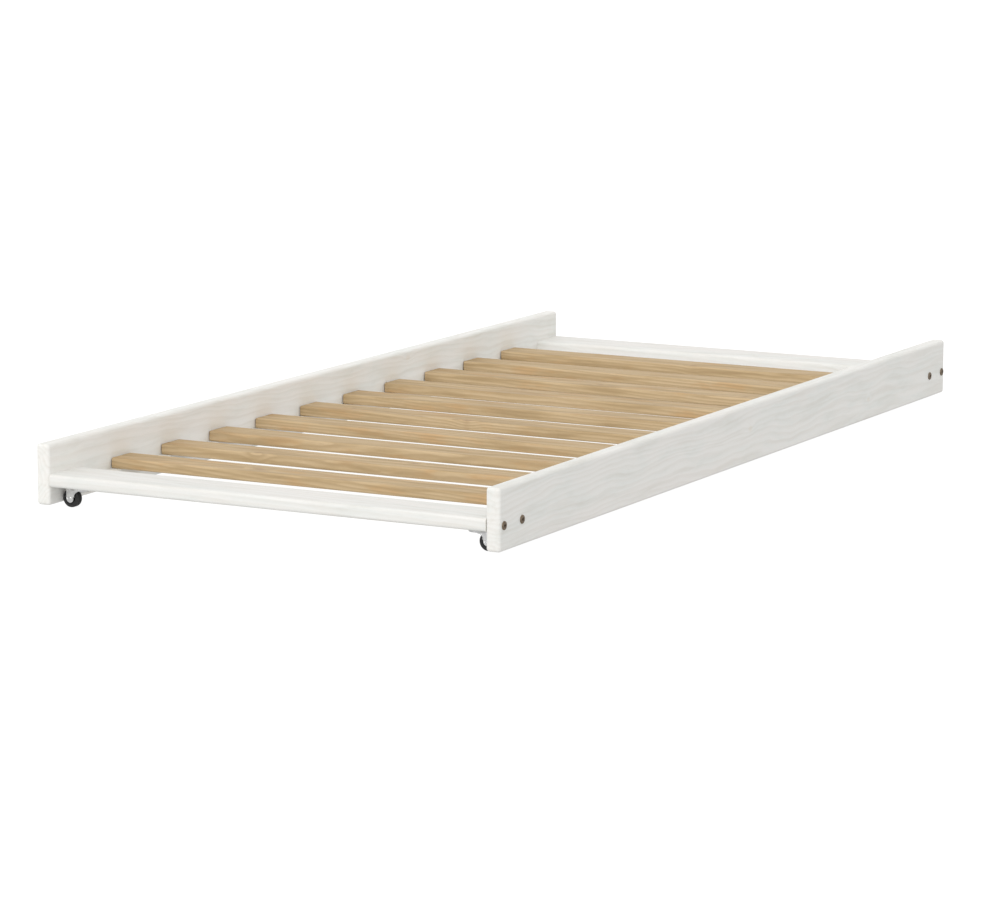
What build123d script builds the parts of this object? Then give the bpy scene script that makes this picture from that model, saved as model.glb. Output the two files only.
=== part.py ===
"""Trundle bed: a low slatted guest bed on four swivel casters.

The frame is two side boards on edge with two end rails laid flat between them. Ten slats lie
on ledgers screwed to the side boards. X is across the bed, Y along it and Z up. The origin is
on the floor, under the middle of the bed. All sizes are in millimetres.
"""
from build123d import *
from collections import namedtuple
from math import cos, radians, sin
import os

os.makedirs("parts", exist_ok=True)

# ---------------------------------------------------------------- driving dimensions
bed_width = 958.0
bed_length = 2000.0
board_thickness = 28.0
board_edge_radius = 6.0
panel_bottom = 8.0
panel_top = 121.0

rail_depth = 96.0
rail_thickness = 24.0
rail_bottom = 42.0

slat_count = 10
slat_pitch = 170.0
slat_width = 66.0
slat_thickness = 20.0
slat_end_gap = 1.5
slat_edge_radius = 4.0

ledger_width = 22.0
ledger_height = 26.0
ledger_end_gap = 1.0
ledger_edge_radius = 2.0

bolt_spacing = 66.0             # between the two bolts at one rail end
bolt_radius = 3.0
bolt_head_radius = 8.0
bolt_head_height = 2.2
bolt_length = 70.0
bolt_clearance = 0.3
bolt_socket_flats = 4.0
bolt_socket_depth = 3.4

barrel_radius = 5.0
barrel_length = 15.0
barrel_inset = 32.0             # from the rail's end to the barrel nut's axis
barrel_slot = (6.0, 1.2, 1.2)   # length, width and depth of the turning slot

dowel_radius = 4.0
dowel_in_panel = 13.0
dowel_in_rail = 27.0
dowel_chamfer = 0.8

screw_radius = 1.9
screw_head_radius = 3.6
screw_cone_angle = 82.0
screw_tip_length = 4.0
screw_hole_clearance = 0.2
screw_pilot_clearance = 0.03
ledger_screw_length = 40.0
slat_screw_length = 38.0
recess = (4.2, 0.9, 1.5)        # arm length, arm width and depth of the cross recess

caster_from_panel = 38.0        # swivel axis to the side board's inner face
caster_trail = 20.0             # swivel axis to wheel axle
wheel_radius = 17.0
wheel_width = 13.0
tyre_inner_radius = 11.2
tyre_shoulder = 2.0
wheel_rim_depth = 2.2
wheel_web_half = 3.0
wheel_hub_radius = 5.0
wheel_hub_half = 7.1
axle_radius = 2.5
axle_head_radius = 4.2
axle_head_height = 1.2
running_clearance = 0.05

plate_size = 42.0
plate_corner_radius = 5.0
plate_thickness = 2.0
plate_hole_spacing = 31.0
plate_hole_radius = 2.2
dish_radius = 11.0
dish_drop = 1.8

fork_sheet = 1.6
fork_top = 37.2
fork_inside_half = 7.5
fork_tip_radius = 7.5
fork_sweep_radius = 15.0
fork_lip = 10.0                 # how far the legs' top edge runs past the swivel axis
crown_radius = 19.0
crown_skirt = 3.6

ball_radius = 1.25
ball_ring_radius = 15.0
ball_count = 16

pin_radius = 3.0
pin_head_radius = 5.5
pin_head_height = 1.4
pin_cup_radius = 7.0
pin_cup_height = 3.6
pin_rivet_radius = 4.6
pin_rivet_bottom = 28.5
pin_gap = 0.4                   # between the fork's crown and the cup under it

caster_screw_length = 17.0
caster_screw_head_radius = 3.9
caster_screw_head_height = 2.3

# ---------------------------------------------------------------- worked-out places
inner_face = bed_width / 2 - board_thickness
panel_centre_x = bed_width / 2 - board_thickness / 2
panel_height = panel_top - panel_bottom
rail_centre_y = bed_length / 2 - rail_depth / 2
rail_inner_y = bed_length / 2 - rail_depth
rail_centre_z = rail_bottom + rail_thickness / 2
slat_bottom = rail_bottom + rail_thickness - slat_thickness
slat_half_length = inner_face - slat_end_gap
slat_ys = [(number - (slat_count - 1) / 2) * slat_pitch for number in range(slat_count)]
ledger_half_length = rail_inner_y - ledger_end_gap
ledger_bottom = slat_bottom - ledger_height
ledger_inner_x = inner_face - ledger_width
ledger_centre_x = inner_face - ledger_width / 2
ledger_screw_ys = [step * 2 * slat_pitch for step in (-2, -1, 0, 1, 2)] + [-845.0, 845.0]
barrel_bottom = rail_centre_z - barrel_length / 2
barrel_x = inner_face - barrel_inset
swivel_x = inner_face - caster_from_panel
crown_bottom = fork_top - fork_sheet
fork_outside_half = fork_inside_half + fork_sheet

sides = (("left", -1), ("right", 1))
ends = (("foot", -1), ("head", 1))
bolt_places = [
    (end * (rail_centre_y + offset), rail_centre_z)
    for _, end in ends
    for offset in (-bolt_spacing / 2, bolt_spacing / 2)
]
dowel_places = [(end * rail_centre_y, rail_centre_z) for _, end in ends]

Corner = namedtuple("Corner", "name x y out")
corners = [
    Corner(f"{end_name}_{side_name}", side * swivel_x, end * rail_centre_y, side)
    for end_name, end in ends
    for side_name, side in sides
]


def save(builder, name):
    """Label a finished piece and write its STEP file."""
    builder.part.label = name
    export_step(builder.part, f"parts/{name}.step")


def facing(x, y, z, side):
    """Place at a point, its own Z pointing along +X (side 1) or -X (side -1)."""
    return Location((x, y, z), (0, side * 90, 0))


def facing_down(x, y, z):
    """Place at a point, its own Z pointing down, so that a hole there runs upwards."""
    return Location((x, y, z), (180, 0, 0))


def level(corner, height):
    """Horizontal plane at a caster, its x axis towards the nearer side board."""
    return Plane(origin=(corner.x, corner.y, height), x_dir=(corner.out, 0, 0), z_dir=(0, 0, 1))


def upright(corner):
    """Vertical plane through a caster's swivel axis, x towards the side board and y up."""
    return Plane(origin=(corner.x, corner.y, 0), x_dir=(corner.out, 0, 0), z_dir=(0, -corner.out, 0))


def across(corner):
    """Vertical plane through a caster's axle, x along the axle and y up."""
    axle_x = corner.x + corner.out * caster_trail
    return Plane(origin=(axle_x, corner.y, 0), x_dir=(0, 1, 0), z_dir=(1, 0, 0))


# ---------------------------------------------------------------- fastener patterns
# One of each fastener, head face at the origin and shank down -Z, copied into its group.
def countersunk_screw(length):
    """Wood screw with a flat countersunk head and a cross recess."""
    cone = (screw_head_radius - screw_radius) * cos(radians(screw_cone_angle / 2)) \
        / sin(radians(screw_cone_angle / 2))
    with BuildPart() as screw:
        with BuildSketch(Plane.XZ):
            with BuildLine():
                Polyline(
                    (0, 0),
                    (screw_head_radius, 0),
                    (screw_radius, -cone),
                    (screw_radius, screw_tip_length - length),
                    (0, -length),
                    close=True,
                )
            make_face()
        revolve(axis=Axis.Z)
        with BuildSketch():
            Rectangle(recess[0], recess[1])
            Rectangle(recess[1], recess[0])
        extrude(amount=-recess[2], mode=Mode.SUBTRACT)
    return screw.part


def domed_screw():
    """Wood screw with a domed head, whose seat is at the origin and whose shank runs down."""
    with BuildPart() as screw:
        with BuildSketch(Plane.XZ):
            with BuildLine():
                Line((0, caster_screw_head_height), (0, -caster_screw_length))
                Line((0, -caster_screw_length), (screw_radius, screw_tip_length - caster_screw_length))
                Line((screw_radius, screw_tip_length - caster_screw_length), (screw_radius, 0))
                Line((screw_radius, 0), (caster_screw_head_radius, 0))
                Line((caster_screw_head_radius, 0), (caster_screw_head_radius, 0.8))
                TangentArc(
                    (0, caster_screw_head_height),
                    (caster_screw_head_radius, 0.8),
                    tangent=(-1, 0),
                    tangent_from_first=False,
                )
            make_face()
        revolve(axis=Axis.Z)
        with BuildSketch(Plane.XY.offset(caster_screw_head_height)):
            Rectangle(recess[0], recess[1])
            Rectangle(recess[1], recess[0])
        extrude(amount=-recess[2], mode=Mode.SUBTRACT)
    return screw.part


def connecting_bolt():
    """Furniture bolt with a wide flat head and a hexagon socket."""
    with BuildPart() as bolt:
        with BuildSketch(Plane.XY):
            Circle(bolt_head_radius)
        extrude(amount=bolt_head_height)
        fillet(bolt.edges().group_by(Axis.Z)[-1], bolt_head_height * 0.5)
        with BuildSketch(Plane.XY):
            Circle(bolt_radius)
        extrude(amount=-bolt_length)
        chamfer(bolt.edges().group_by(Axis.Z)[0], bolt_radius * 0.3)
        with BuildSketch(Plane.XY.offset(bolt_head_height)):
            RegularPolygon(bolt_socket_flats / 2, 6, major_radius=False)
        extrude(amount=-bolt_socket_depth, mode=Mode.SUBTRACT)
    return bolt.part


# ---------------------------------------------------------------- side boards
for side_name, side in sides:
    with BuildPart() as side_panel:
        with BuildSketch(Plane.XY.offset(panel_bottom)):
            with Locations((side * panel_centre_x, 0)):
                Rectangle(board_thickness, bed_length)
        extrude(amount=panel_height)
        fillet(side_panel.edges(), board_edge_radius)
        with BuildSketch(Plane.YZ.offset(side * inner_face)):
            with Locations(*bolt_places):
                Circle(bolt_radius + bolt_clearance)
        extrude(amount=side * board_thickness, mode=Mode.SUBTRACT)
        with BuildSketch(Plane.YZ.offset(side * inner_face)):
            with Locations(*dowel_places):
                Circle(dowel_radius)
        extrude(amount=side * dowel_in_panel, mode=Mode.SUBTRACT)
        with Locations(*[
            facing(side * inner_face, y, ledger_bottom + ledger_height / 2, -side)
            for y in ledger_screw_ys
        ]):
            Hole(screw_radius + screw_pilot_clearance, depth=ledger_screw_length - ledger_width)
    save(side_panel, f"{side_name}_side_panel")

# ---------------------------------------------------------------- end rails
for end_name, end in ends:
    with BuildPart() as end_rail:
        with BuildSketch(Plane.YZ.offset(-inner_face)):
            with Locations((end * rail_centre_y, rail_centre_z)):
                RectangleRounded(rail_depth, rail_thickness, board_edge_radius)
        extrude(amount=2 * inner_face)
        for _, side in sides:
            with BuildSketch(Plane.YZ.offset(side * inner_face)):
                with Locations(*[place for place in bolt_places if place[0] * end > 0]):
                    Circle(bolt_radius + bolt_clearance)
            extrude(amount=-side * (bolt_length - board_thickness + 2), mode=Mode.SUBTRACT)
            with BuildSketch(Plane.YZ.offset(side * inner_face)):
                with Locations((end * rail_centre_y, rail_centre_z)):
                    Circle(dowel_radius)
            extrude(amount=-side * dowel_in_rail, mode=Mode.SUBTRACT)
        with BuildSketch(Plane.XY.offset(rail_bottom)):
            with Locations((-barrel_x, end * rail_centre_y), (barrel_x, end * rail_centre_y)):
                with Locations((0, -bolt_spacing / 2), (0, bolt_spacing / 2)):
                    Circle(barrel_radius)
        extrude(amount=barrel_bottom + barrel_length - rail_bottom, mode=Mode.SUBTRACT)
        with Locations(*[
            facing_down(
                corner.x + dx * plate_hole_spacing / 2,
                corner.y + dy * plate_hole_spacing / 2,
                rail_bottom,
            )
            for corner in corners if corner.y * end > 0
            for dx in (-1, 1)
            for dy in (-1, 1)
        ]):
            Hole(screw_radius + screw_pilot_clearance, depth=caster_screw_length)
    save(end_rail, f"{end_name}_end_rail")

# ---------------------------------------------------------------- ledgers and slats
for side_name, side in sides:
    with BuildPart() as slat_ledger:
        with BuildSketch(Plane.XZ.offset(-ledger_half_length)):
            with Locations((side * ledger_centre_x, ledger_bottom + ledger_height / 2)):
                RectangleRounded(ledger_width, ledger_height, ledger_edge_radius)
        extrude(amount=2 * ledger_half_length)
        with Locations(*[
            facing(side * ledger_inner_x, y, ledger_bottom + ledger_height / 2, -side)
            for y in ledger_screw_ys
        ]):
            CounterSinkHole(
                screw_radius + screw_hole_clearance,
                screw_head_radius + screw_hole_clearance / 2,
                depth=ledger_width,
                counter_sink_angle=screw_cone_angle,
            )
        with Locations(*[facing_down(side * ledger_centre_x, y, ledger_bottom) for y in slat_ys]):
            CounterSinkHole(
                screw_radius + screw_hole_clearance,
                screw_head_radius + screw_hole_clearance / 2,
                depth=ledger_height,
                counter_sink_angle=screw_cone_angle,
            )
    save(slat_ledger, f"{side_name}_slat_ledger")

for number, slat_y in enumerate(slat_ys, start=1):
    with BuildPart() as slat:
        with BuildSketch(Plane.YZ.offset(-slat_half_length)):
            with Locations((slat_y, slat_bottom + slat_thickness / 2)):
                RectangleRounded(slat_width, slat_thickness, slat_edge_radius)
        extrude(amount=2 * slat_half_length)
        chamfer(slat.faces().filter_by(Axis.X).edges(), 0.6)
        with Locations(*[facing_down(side * ledger_centre_x, slat_y, slat_bottom) for _, side in sides]):
            Hole(screw_radius + screw_pilot_clearance, depth=slat_screw_length - ledger_height)
    save(slat, f"slat_{number:02d}")

# ---------------------------------------------------------------- fasteners of the frame
with BuildPart() as frame_bolts:
    with Locations(*[facing(side * bed_width / 2, y, z, side) for _, side in sides for y, z in bolt_places]):
        add(connecting_bolt())
save(frame_bolts, "frame_bolts")

with BuildPart() as barrel_nuts:
    with BuildSketch(Plane.XY.offset(barrel_bottom)):
        with Locations(*[(side * barrel_x, y) for _, side in sides for y, _ in bolt_places]):
            Circle(barrel_radius)
    extrude(amount=barrel_length)
    with BuildSketch(Plane.YZ):
        with Locations(*bolt_places):
            Circle(bolt_radius + running_clearance)
    extrude(amount=inner_face, both=True, mode=Mode.SUBTRACT)
    with BuildSketch(Plane.XY.offset(barrel_bottom)):
        with Locations(*[(side * barrel_x, y) for _, side in sides for y, _ in bolt_places]):
            Rectangle(barrel_slot[0], barrel_slot[1])
    extrude(amount=barrel_slot[2], mode=Mode.SUBTRACT)
save(barrel_nuts, "barrel_nuts")

with BuildPart() as rail_dowels:
    for _, side in sides:
        with BuildSketch(Plane.YZ.offset(side * (inner_face - dowel_in_rail + 1))):
            with Locations(*dowel_places):
                Circle(dowel_radius)
        extrude(amount=side * (dowel_in_rail + dowel_in_panel - 2))
    chamfer(rail_dowels.edges().filter_by(GeomType.CIRCLE), dowel_chamfer)
save(rail_dowels, "rail_dowels")

with BuildPart() as ledger_screws:
    with Locations(*[
        facing(side * ledger_inner_x, y, ledger_bottom + ledger_height / 2, -side)
        for _, side in sides
        for y in ledger_screw_ys
    ]):
        add(countersunk_screw(ledger_screw_length))
save(ledger_screws, "ledger_screws")

with BuildPart() as slat_screws:
    with Locations(*[
        facing_down(side * ledger_centre_x, y, ledger_bottom) for _, side in sides for y in slat_ys
    ]):
        add(countersunk_screw(slat_screw_length))
save(slat_screws, "slat_screws")

with BuildPart() as caster_screws:
    with Locations(*[
        facing_down(
            corner.x + dx * plate_hole_spacing / 2,
            corner.y + dy * plate_hole_spacing / 2,
            rail_bottom - plate_thickness,
        )
        for corner in corners
        for dx in (-1, 1)
        for dy in (-1, 1)
    ]):
        add(domed_screw())
save(caster_screws, "caster_screws")

# ---------------------------------------------------------------- casters
for corner in corners:
    # Top plate, with a dish pressed down in its middle for the king pin's head.
    with BuildPart() as caster_plate:
        with BuildSketch(level(corner, rail_bottom - plate_thickness)):
            RectangleRounded(plate_size, plate_size, plate_corner_radius)
        extrude(amount=plate_thickness)
        with BuildSketch(level(corner, rail_bottom - plate_thickness - dish_drop)):
            Circle(dish_radius)
        extrude(amount=plate_thickness + dish_drop)
        with BuildSketch(level(corner, rail_bottom)):
            Circle(dish_radius - plate_thickness)
        extrude(amount=-dish_drop, mode=Mode.SUBTRACT)
        with BuildSketch(level(corner, rail_bottom)):
            Circle(pin_radius)
            with GridLocations(plate_hole_spacing, plate_hole_spacing, 2, 2):
                Circle(plate_hole_radius)
        extrude(amount=-plate_thickness - dish_drop, mode=Mode.SUBTRACT)
    save(caster_plate, f"{corner.name}_caster_plate")

    # King pin: riveted in the dish, through the fork's crown, with a cup under the crown.
    cup_top = crown_bottom - pin_gap
    cup_bottom = cup_top - pin_cup_height
    pin_head_bottom = rail_bottom - dish_drop
    with BuildPart() as king_pin:
        with BuildSketch(upright(corner)):
            with BuildLine():
                Polyline(
                    (0, pin_rivet_bottom),
                    (pin_rivet_radius - 1, pin_rivet_bottom),
                    (pin_rivet_radius, pin_rivet_bottom + 1),
                    (pin_rivet_radius, cup_bottom),
                    (pin_cup_radius, cup_top),
                    (pin_radius, cup_top),
                    (pin_radius, pin_head_bottom),
                    (pin_head_radius, pin_head_bottom),
                    (pin_head_radius - 1, pin_head_bottom + pin_head_height),
                    (0, pin_head_bottom + pin_head_height),
                    close=True,
                )
            make_face()
        revolve(axis=Axis((corner.x, corner.y, 0), (0, 0, 1)))
    save(king_pin, f"{corner.name}_king_pin")

    # Ring of bearing balls on the fork's crown.
    with BuildPart() as swivel_balls:
        with Locations(Plane(origin=(corner.x, corner.y, fork_top + ball_radius))):
            with PolarLocations(ball_ring_radius, ball_count):
                Sphere(ball_radius)
    save(swivel_balls, f"{corner.name}_swivel_balls")

    # Fork: a pressed sheet bridge whose two legs sweep down to the axle.
    tip_out = caster_trail + fork_tip_radius
    tip_in = caster_trail - fork_tip_radius
    sweep_centre = tip_in - fork_sweep_radius
    sweep_mid = (
        sweep_centre + fork_sweep_radius * cos(radians(45)),
        wheel_radius + fork_sweep_radius * sin(radians(45)),
    )
    sweep_top = wheel_radius + fork_sweep_radius
    with BuildPart() as fork:
        with BuildSketch(level(corner, fork_top)):
            Circle(crown_radius)
        extrude(amount=-crown_skirt)
        with BuildSketch(level(corner, crown_bottom)):
            Circle(crown_radius - fork_sheet)
        extrude(amount=-crown_skirt, mode=Mode.SUBTRACT)
        with BuildSketch(upright(corner)):
            with BuildLine():
                Line((tip_out, fork_top), (tip_out, wheel_radius))
                ThreePointArc(
                    (tip_out, wheel_radius),
                    (caster_trail, wheel_radius - fork_tip_radius),
                    (tip_in, wheel_radius),
                )
                ThreePointArc((tip_in, wheel_radius), sweep_mid, (sweep_centre, sweep_top))
                Polyline(
                    (sweep_centre, sweep_top),
                    (-fork_lip, sweep_top),
                    (-fork_lip, fork_top),
                    (tip_out, fork_top),
                )
            make_face()
        extrude(amount=fork_outside_half, both=True)
        with BuildSketch(upright(corner)):
            with Locations((caster_trail / 2, crown_bottom / 2)):
                Rectangle(4 * crown_radius, crown_bottom)
        extrude(amount=fork_inside_half, both=True, mode=Mode.SUBTRACT)
        with BuildSketch(level(corner, fork_top)):
            Circle(pin_radius + running_clearance)
        extrude(amount=-fork_sheet, mode=Mode.SUBTRACT)
        with BuildSketch(upright(corner)):
            with Locations((caster_trail, wheel_radius)):
                Circle(axle_radius)
        extrude(amount=fork_outside_half, both=True, mode=Mode.SUBTRACT)
    save(fork, f"{corner.name}_fork")

    # Axle: a rivet through both legs.
    axle_axis = Axis((corner.x + corner.out * caster_trail, corner.y, wheel_radius), (0, 1, 0))
    axle_half = fork_outside_half + axle_head_height
    with BuildPart() as axle:
        with BuildSketch(across(corner)):
            with BuildLine():
                Polyline(
                    (-axle_half, wheel_radius),
                    (-axle_half, wheel_radius + axle_head_radius - 0.8),
                    (-fork_outside_half - 0.3, wheel_radius + axle_head_radius),
                    (-fork_outside_half, wheel_radius + axle_head_radius),
                    (-fork_outside_half, wheel_radius + axle_radius),
                    (fork_outside_half, wheel_radius + axle_radius),
                    (fork_outside_half, wheel_radius + axle_head_radius),
                    (fork_outside_half + 0.3, wheel_radius + axle_head_radius),
                    (axle_half, wheel_radius + axle_head_radius - 0.8),
                    (axle_half, wheel_radius),
                    close=True,
                )
            make_face()
        revolve(axis=axle_axis)
    save(axle, f"{corner.name}_axle")

    # Wheel centre: hub, web and rim.
    rim_half = wheel_width / 2 - 0.5
    rim_inner = tyre_inner_radius - wheel_rim_depth
    with BuildPart() as wheel_core:
        with BuildSketch(across(corner)):
            with Locations((0, wheel_radius + (tyre_inner_radius + rim_inner) / 2)):
                Rectangle(2 * rim_half, wheel_rim_depth)
            with Locations((0, wheel_radius + (wheel_hub_radius + rim_inner) / 2)):
                Rectangle(2 * wheel_web_half, rim_inner - wheel_hub_radius)
            bore_radius = axle_radius + running_clearance
            with Locations((0, wheel_radius + (wheel_hub_radius + bore_radius) / 2)):
                Rectangle(2 * wheel_hub_half, wheel_hub_radius - bore_radius)
        revolve(axis=axle_axis)
    save(wheel_core, f"{corner.name}_wheel_core")

    # Tyre, with rounded shoulders.
    with BuildPart() as tyre:
        with BuildSketch(across(corner)) as tyre_section:
            with Locations((0, wheel_radius + (wheel_radius + tyre_inner_radius) / 2)):
                Rectangle(wheel_width, wheel_radius - tyre_inner_radius)
            fillet(tyre_section.vertices().group_by(Axis.Z)[-1], tyre_shoulder)
        revolve(axis=axle_axis)
    save(tyre, f"{corner.name}_tyre")
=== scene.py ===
"""Looks of a low trundle bed: its wood finishes, fastenings, swivel casters, light and camera.

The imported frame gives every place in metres. X runs across the bed, Y along it from the foot
to the head, and Z up from the floor. Boards keep the frame's own shapes and get solid-wood
finishes. Fastenings and casters are surfaces worked out here, each a function of two
parameters on a grid, and each one stands for a node of the frame.
"""
from __future__ import annotations

import logging
from dataclasses import dataclass
from enum import Enum
from math import cos, pi, radians, sin, tan, tau
from typing import Callable, Mapping, Sequence, Union

import bmesh
import bpy
import numpy as np
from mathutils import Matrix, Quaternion, Vector


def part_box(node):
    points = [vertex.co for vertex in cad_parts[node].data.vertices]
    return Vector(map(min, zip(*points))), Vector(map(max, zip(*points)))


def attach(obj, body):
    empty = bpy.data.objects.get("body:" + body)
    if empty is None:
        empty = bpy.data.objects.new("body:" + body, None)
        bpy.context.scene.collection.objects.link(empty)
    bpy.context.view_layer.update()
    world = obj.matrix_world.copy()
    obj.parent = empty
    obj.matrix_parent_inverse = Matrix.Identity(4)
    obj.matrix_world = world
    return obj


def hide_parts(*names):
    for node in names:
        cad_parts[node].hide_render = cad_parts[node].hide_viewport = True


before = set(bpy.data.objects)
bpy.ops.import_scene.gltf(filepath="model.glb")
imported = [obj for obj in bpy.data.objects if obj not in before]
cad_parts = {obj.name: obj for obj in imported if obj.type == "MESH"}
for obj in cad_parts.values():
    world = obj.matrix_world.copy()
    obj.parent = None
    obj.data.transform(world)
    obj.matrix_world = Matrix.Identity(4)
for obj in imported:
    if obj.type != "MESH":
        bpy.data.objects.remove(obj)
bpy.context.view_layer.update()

log = logging.getLogger("trundle_bed")
MM = 0.001
SAME_PLACE = 0.0001 * MM
Colour = tuple[float, float, float]
Corner = tuple[float, float, float]
Key = Union[str, int]


class Slot(Enum):
    """Finishes of the fastenings and casters, as the bed's record names them."""

    ANTIQUE_BRONZE = "antique_bronze"
    ZINC_STEEL = "zinc_steel"
    POLISHED_BALLS = "polished_balls"
    BEECH_DOWEL = "beech_dowel"
    BLACK_PLASTIC = "black_plastic"
    BLACK_RUBBER = "black_rubber"


class Side(Enum):
    """The two long sides, with the sign of X on each."""

    LEFT = -1
    RIGHT = 1

    @property
    def outward(self) -> np.ndarray:
        """Turn that points a piece's upper end away from the bed's middle."""
        return AXIS_TURNS["right" if self is Side.RIGHT else "left"]

    @property
    def inward(self) -> np.ndarray:
        """Turn that points a piece's upper end at the bed's middle."""
        return AXIS_TURNS["left" if self is Side.RIGHT else "right"]


class End(Enum):
    """The two ends of the bed, with the sign of Y on each."""

    FOOT = -1
    HEAD = 1


# ------------------------------------------------------------------ shader maths
def operation(kind: str, swapped: bool = False) -> Callable[..., "Wire"]:
    """Makes a method of Wire that adds a Math node.

    Args:
        kind: The node's operation.
        swapped: Whether the wire itself comes last.

    Returns:
        The method, which takes the operation's other values.
    """
    def apply(wire: "Wire", *others: "Value") -> "Wire":
        """The operation on the wire and the other values."""
        return wire.graph.maths(kind, *((*others, wire) if swapped else (wire, *others)))

    return apply


class Wire:
    """A value in a material that changes over the surface, built up with Python's operators."""

    def __init__(self, graph: "Graph", socket: bpy.types.NodeSocket) -> None:
        """Wraps one output socket.

        Args:
            graph: The material's graph, which adds the nodes.
            socket: The output that carries the value.
        """
        self.graph = graph
        self.socket = socket

    __add__ = __radd__ = operation("ADD")
    __sub__ = operation("SUBTRACT")
    __rsub__ = operation("SUBTRACT", swapped=True)
    __mul__ = operation("MULTIPLY")
    __truediv__ = operation("DIVIDE")
    __abs__ = operation("ABSOLUTE")
    least = operation("MINIMUM")
    most = operation("MAXIMUM")
    fraction = operation("FRACT")

    def rise(self, low: float, high: float) -> "Wire":
        """Smooth step.

        Args:
            low: Value up to which the result is 0.
            high: Value from which the result is 1.

        Returns:
            The eased step between them.
        """
        settings = {"interpolation_type": "SMOOTHSTEP"}
        values = {"Value": self, "From Min": low, "From Max": high}
        return self.graph.add("ShaderNodeMapRange", settings, values)


Value = Union[Wire, float, Sequence[float]]


@dataclass(frozen=True)
class Veil:
    """A smooth step of a value, and the strength of what it lets show.

    Attributes:
        low: Value up to which the step is 0.
        high: Value from which the step is 1.
        share: Strength at the full step.
        falling: Whether it shows below the step instead of above it.
    """

    low: float
    high: float
    share: float = 1.0
    falling: bool = False

    def over(self, part: Wire) -> Wire:
        """Strength over the surface, from the value that it follows."""
        step = part.rise(self.low, self.high)
        return (1.0 - step if self.falling else step) * self.share


@dataclass(frozen=True)
class Layer:
    """One noise of a finish.

    Attributes:
        waves: Waves in a metre.
        detail: Number of finer layers.
        roughness: How strong the finer layers are.
        along: Share of the length along the grain that counts, so that the noise runs long.
    """

    waves: float
    detail: float = 2.0
    roughness: float = 0.5
    along: float = 1.0


class Graph:
    """Node tree of one material or world."""

    relief_strength = 0.7

    def __init__(self, owner: bpy.types.Material | bpy.types.World) -> None:
        """Empties the node tree of a material or a world.

        Args:
            owner: The material or world.
        """
        self.owner = owner
        owner.use_nodes = True
        self.tree = owner.node_tree
        self.tree.nodes.clear()

    @classmethod
    def of_material(cls, name: str) -> "Graph":
        """The graph of a new material."""
        return cls(bpy.data.materials.new(name))

    def add(self, kind: str, settings: Mapping[str, object] | None = None,
            values: Mapping[Key, Value] | None = None, output: Key = 0) -> Wire:
        """Adds a node, with its settings made before its sockets are fed.

        Args:
            kind: Blender's name for the node's type.
            settings: The node's own choices.
            values: Numbers or wires for its sockets, by name or number.
            output: The output to carry on from.

        Returns:
            The wire from that output.
        """
        node = self.tree.nodes.new(kind)
        for name, setting in (settings or {}).items():
            setattr(node, name, setting)
        for name, value in (values or {}).items():
            self.feed(node.inputs[name], value)
        return Wire(self, node.outputs[output])

    def feed(self, socket: bpy.types.NodeSocket, value: Value) -> None:
        """Links a wire to a socket, or sets the socket to a number or colour."""
        if isinstance(value, Wire):
            self.tree.links.new(value.socket, socket)
        elif socket.type == "RGBA":
            socket.default_value = (*value, 1.0)
        else:
            socket.default_value = value

    def maths(self, operation: str, *values: Value) -> Wire:
        """Adds a Math node on one to three values."""
        return self.add("ShaderNodeMath", {"operation": operation}, dict(enumerate(values)))

    def mix(self, share: Value, first: Value, second: Value, mode: str = "MIX") -> Wire:
        """Mixes two colours.

        Args:
            share: How much of the second colour shows.
            first: Colour at share 0.
            second: Colour at share 1, or what the mode works with.
            mode: The blend mode.

        Returns:
            The mixed colour.
        """
        settings = {"data_type": "RGBA", "blend_type": mode}
        return self.add("ShaderNodeMix", settings, {0: share, 6: first, 7: second}, 2)

    def vector(self, x: Value, y: Value, z: Value) -> Wire:
        """A point from its three numbers."""
        return self.add("ShaderNodeCombineXYZ", None, {0: x, 1: y, 2: z})

    def place(self, source: str = "Object") -> tuple[Wire, Wire, Wire]:
        """X, Y and Z of the point on the bed, in metres, or of a world's direction."""
        point = self.add("ShaderNodeTexCoord", None, None, source)
        parts = self.tree.nodes.new("ShaderNodeSeparateXYZ")
        self.feed(parts.inputs[0], point)
        return tuple(Wire(self, output) for output in parts.outputs)

    def noise(self, point: Wire, layer: Layer) -> Wire:
        """Soft noise from 0 to 1, read at a point."""
        values = {"Vector": point, "Scale": layer.waves, "Detail": layer.detail,
                  "Roughness": layer.roughness}
        return self.add("ShaderNodeTexNoise", None, values, "Fac")

    def wear(self) -> Wire:
        """The piece's own wear, from 0 to 1 on its points."""
        return self.add("ShaderNodeAttribute", {"attribute_name": "wear"}, None, "Fac")

    def finish(self, colour: Value, roughness: Value, height: Value, depth: float,
               constants: Mapping[str, float]) -> bpy.types.Material:
        """Closes the graph with a Principled shader.

        Args:
            colour: Base colour.
            roughness: Roughness.
            height: Relief from 0 to 1.
            depth: What a relief of 1 stands for, in metres.
            constants: Values set on the shader's own sockets.

        Returns:
            The finished material.
        """
        bump = {"Height": height, "Distance": depth, "Strength": self.relief_strength}
        normal = self.add("ShaderNodeBump", None, bump, "Normal")
        values = {"Base Color": colour, "Roughness": roughness, "Normal": normal, **constants}
        shader = self.add("ShaderNodeBsdfPrincipled", None, values)
        self.end(shader, "ShaderNodeOutputMaterial")
        return self.owner

    def end(self, shader: Wire, kind: str) -> None:
        """Ends the graph in an output node of a kind."""
        self.feed(self.tree.nodes.new(kind).inputs["Surface"], shader)


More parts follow.
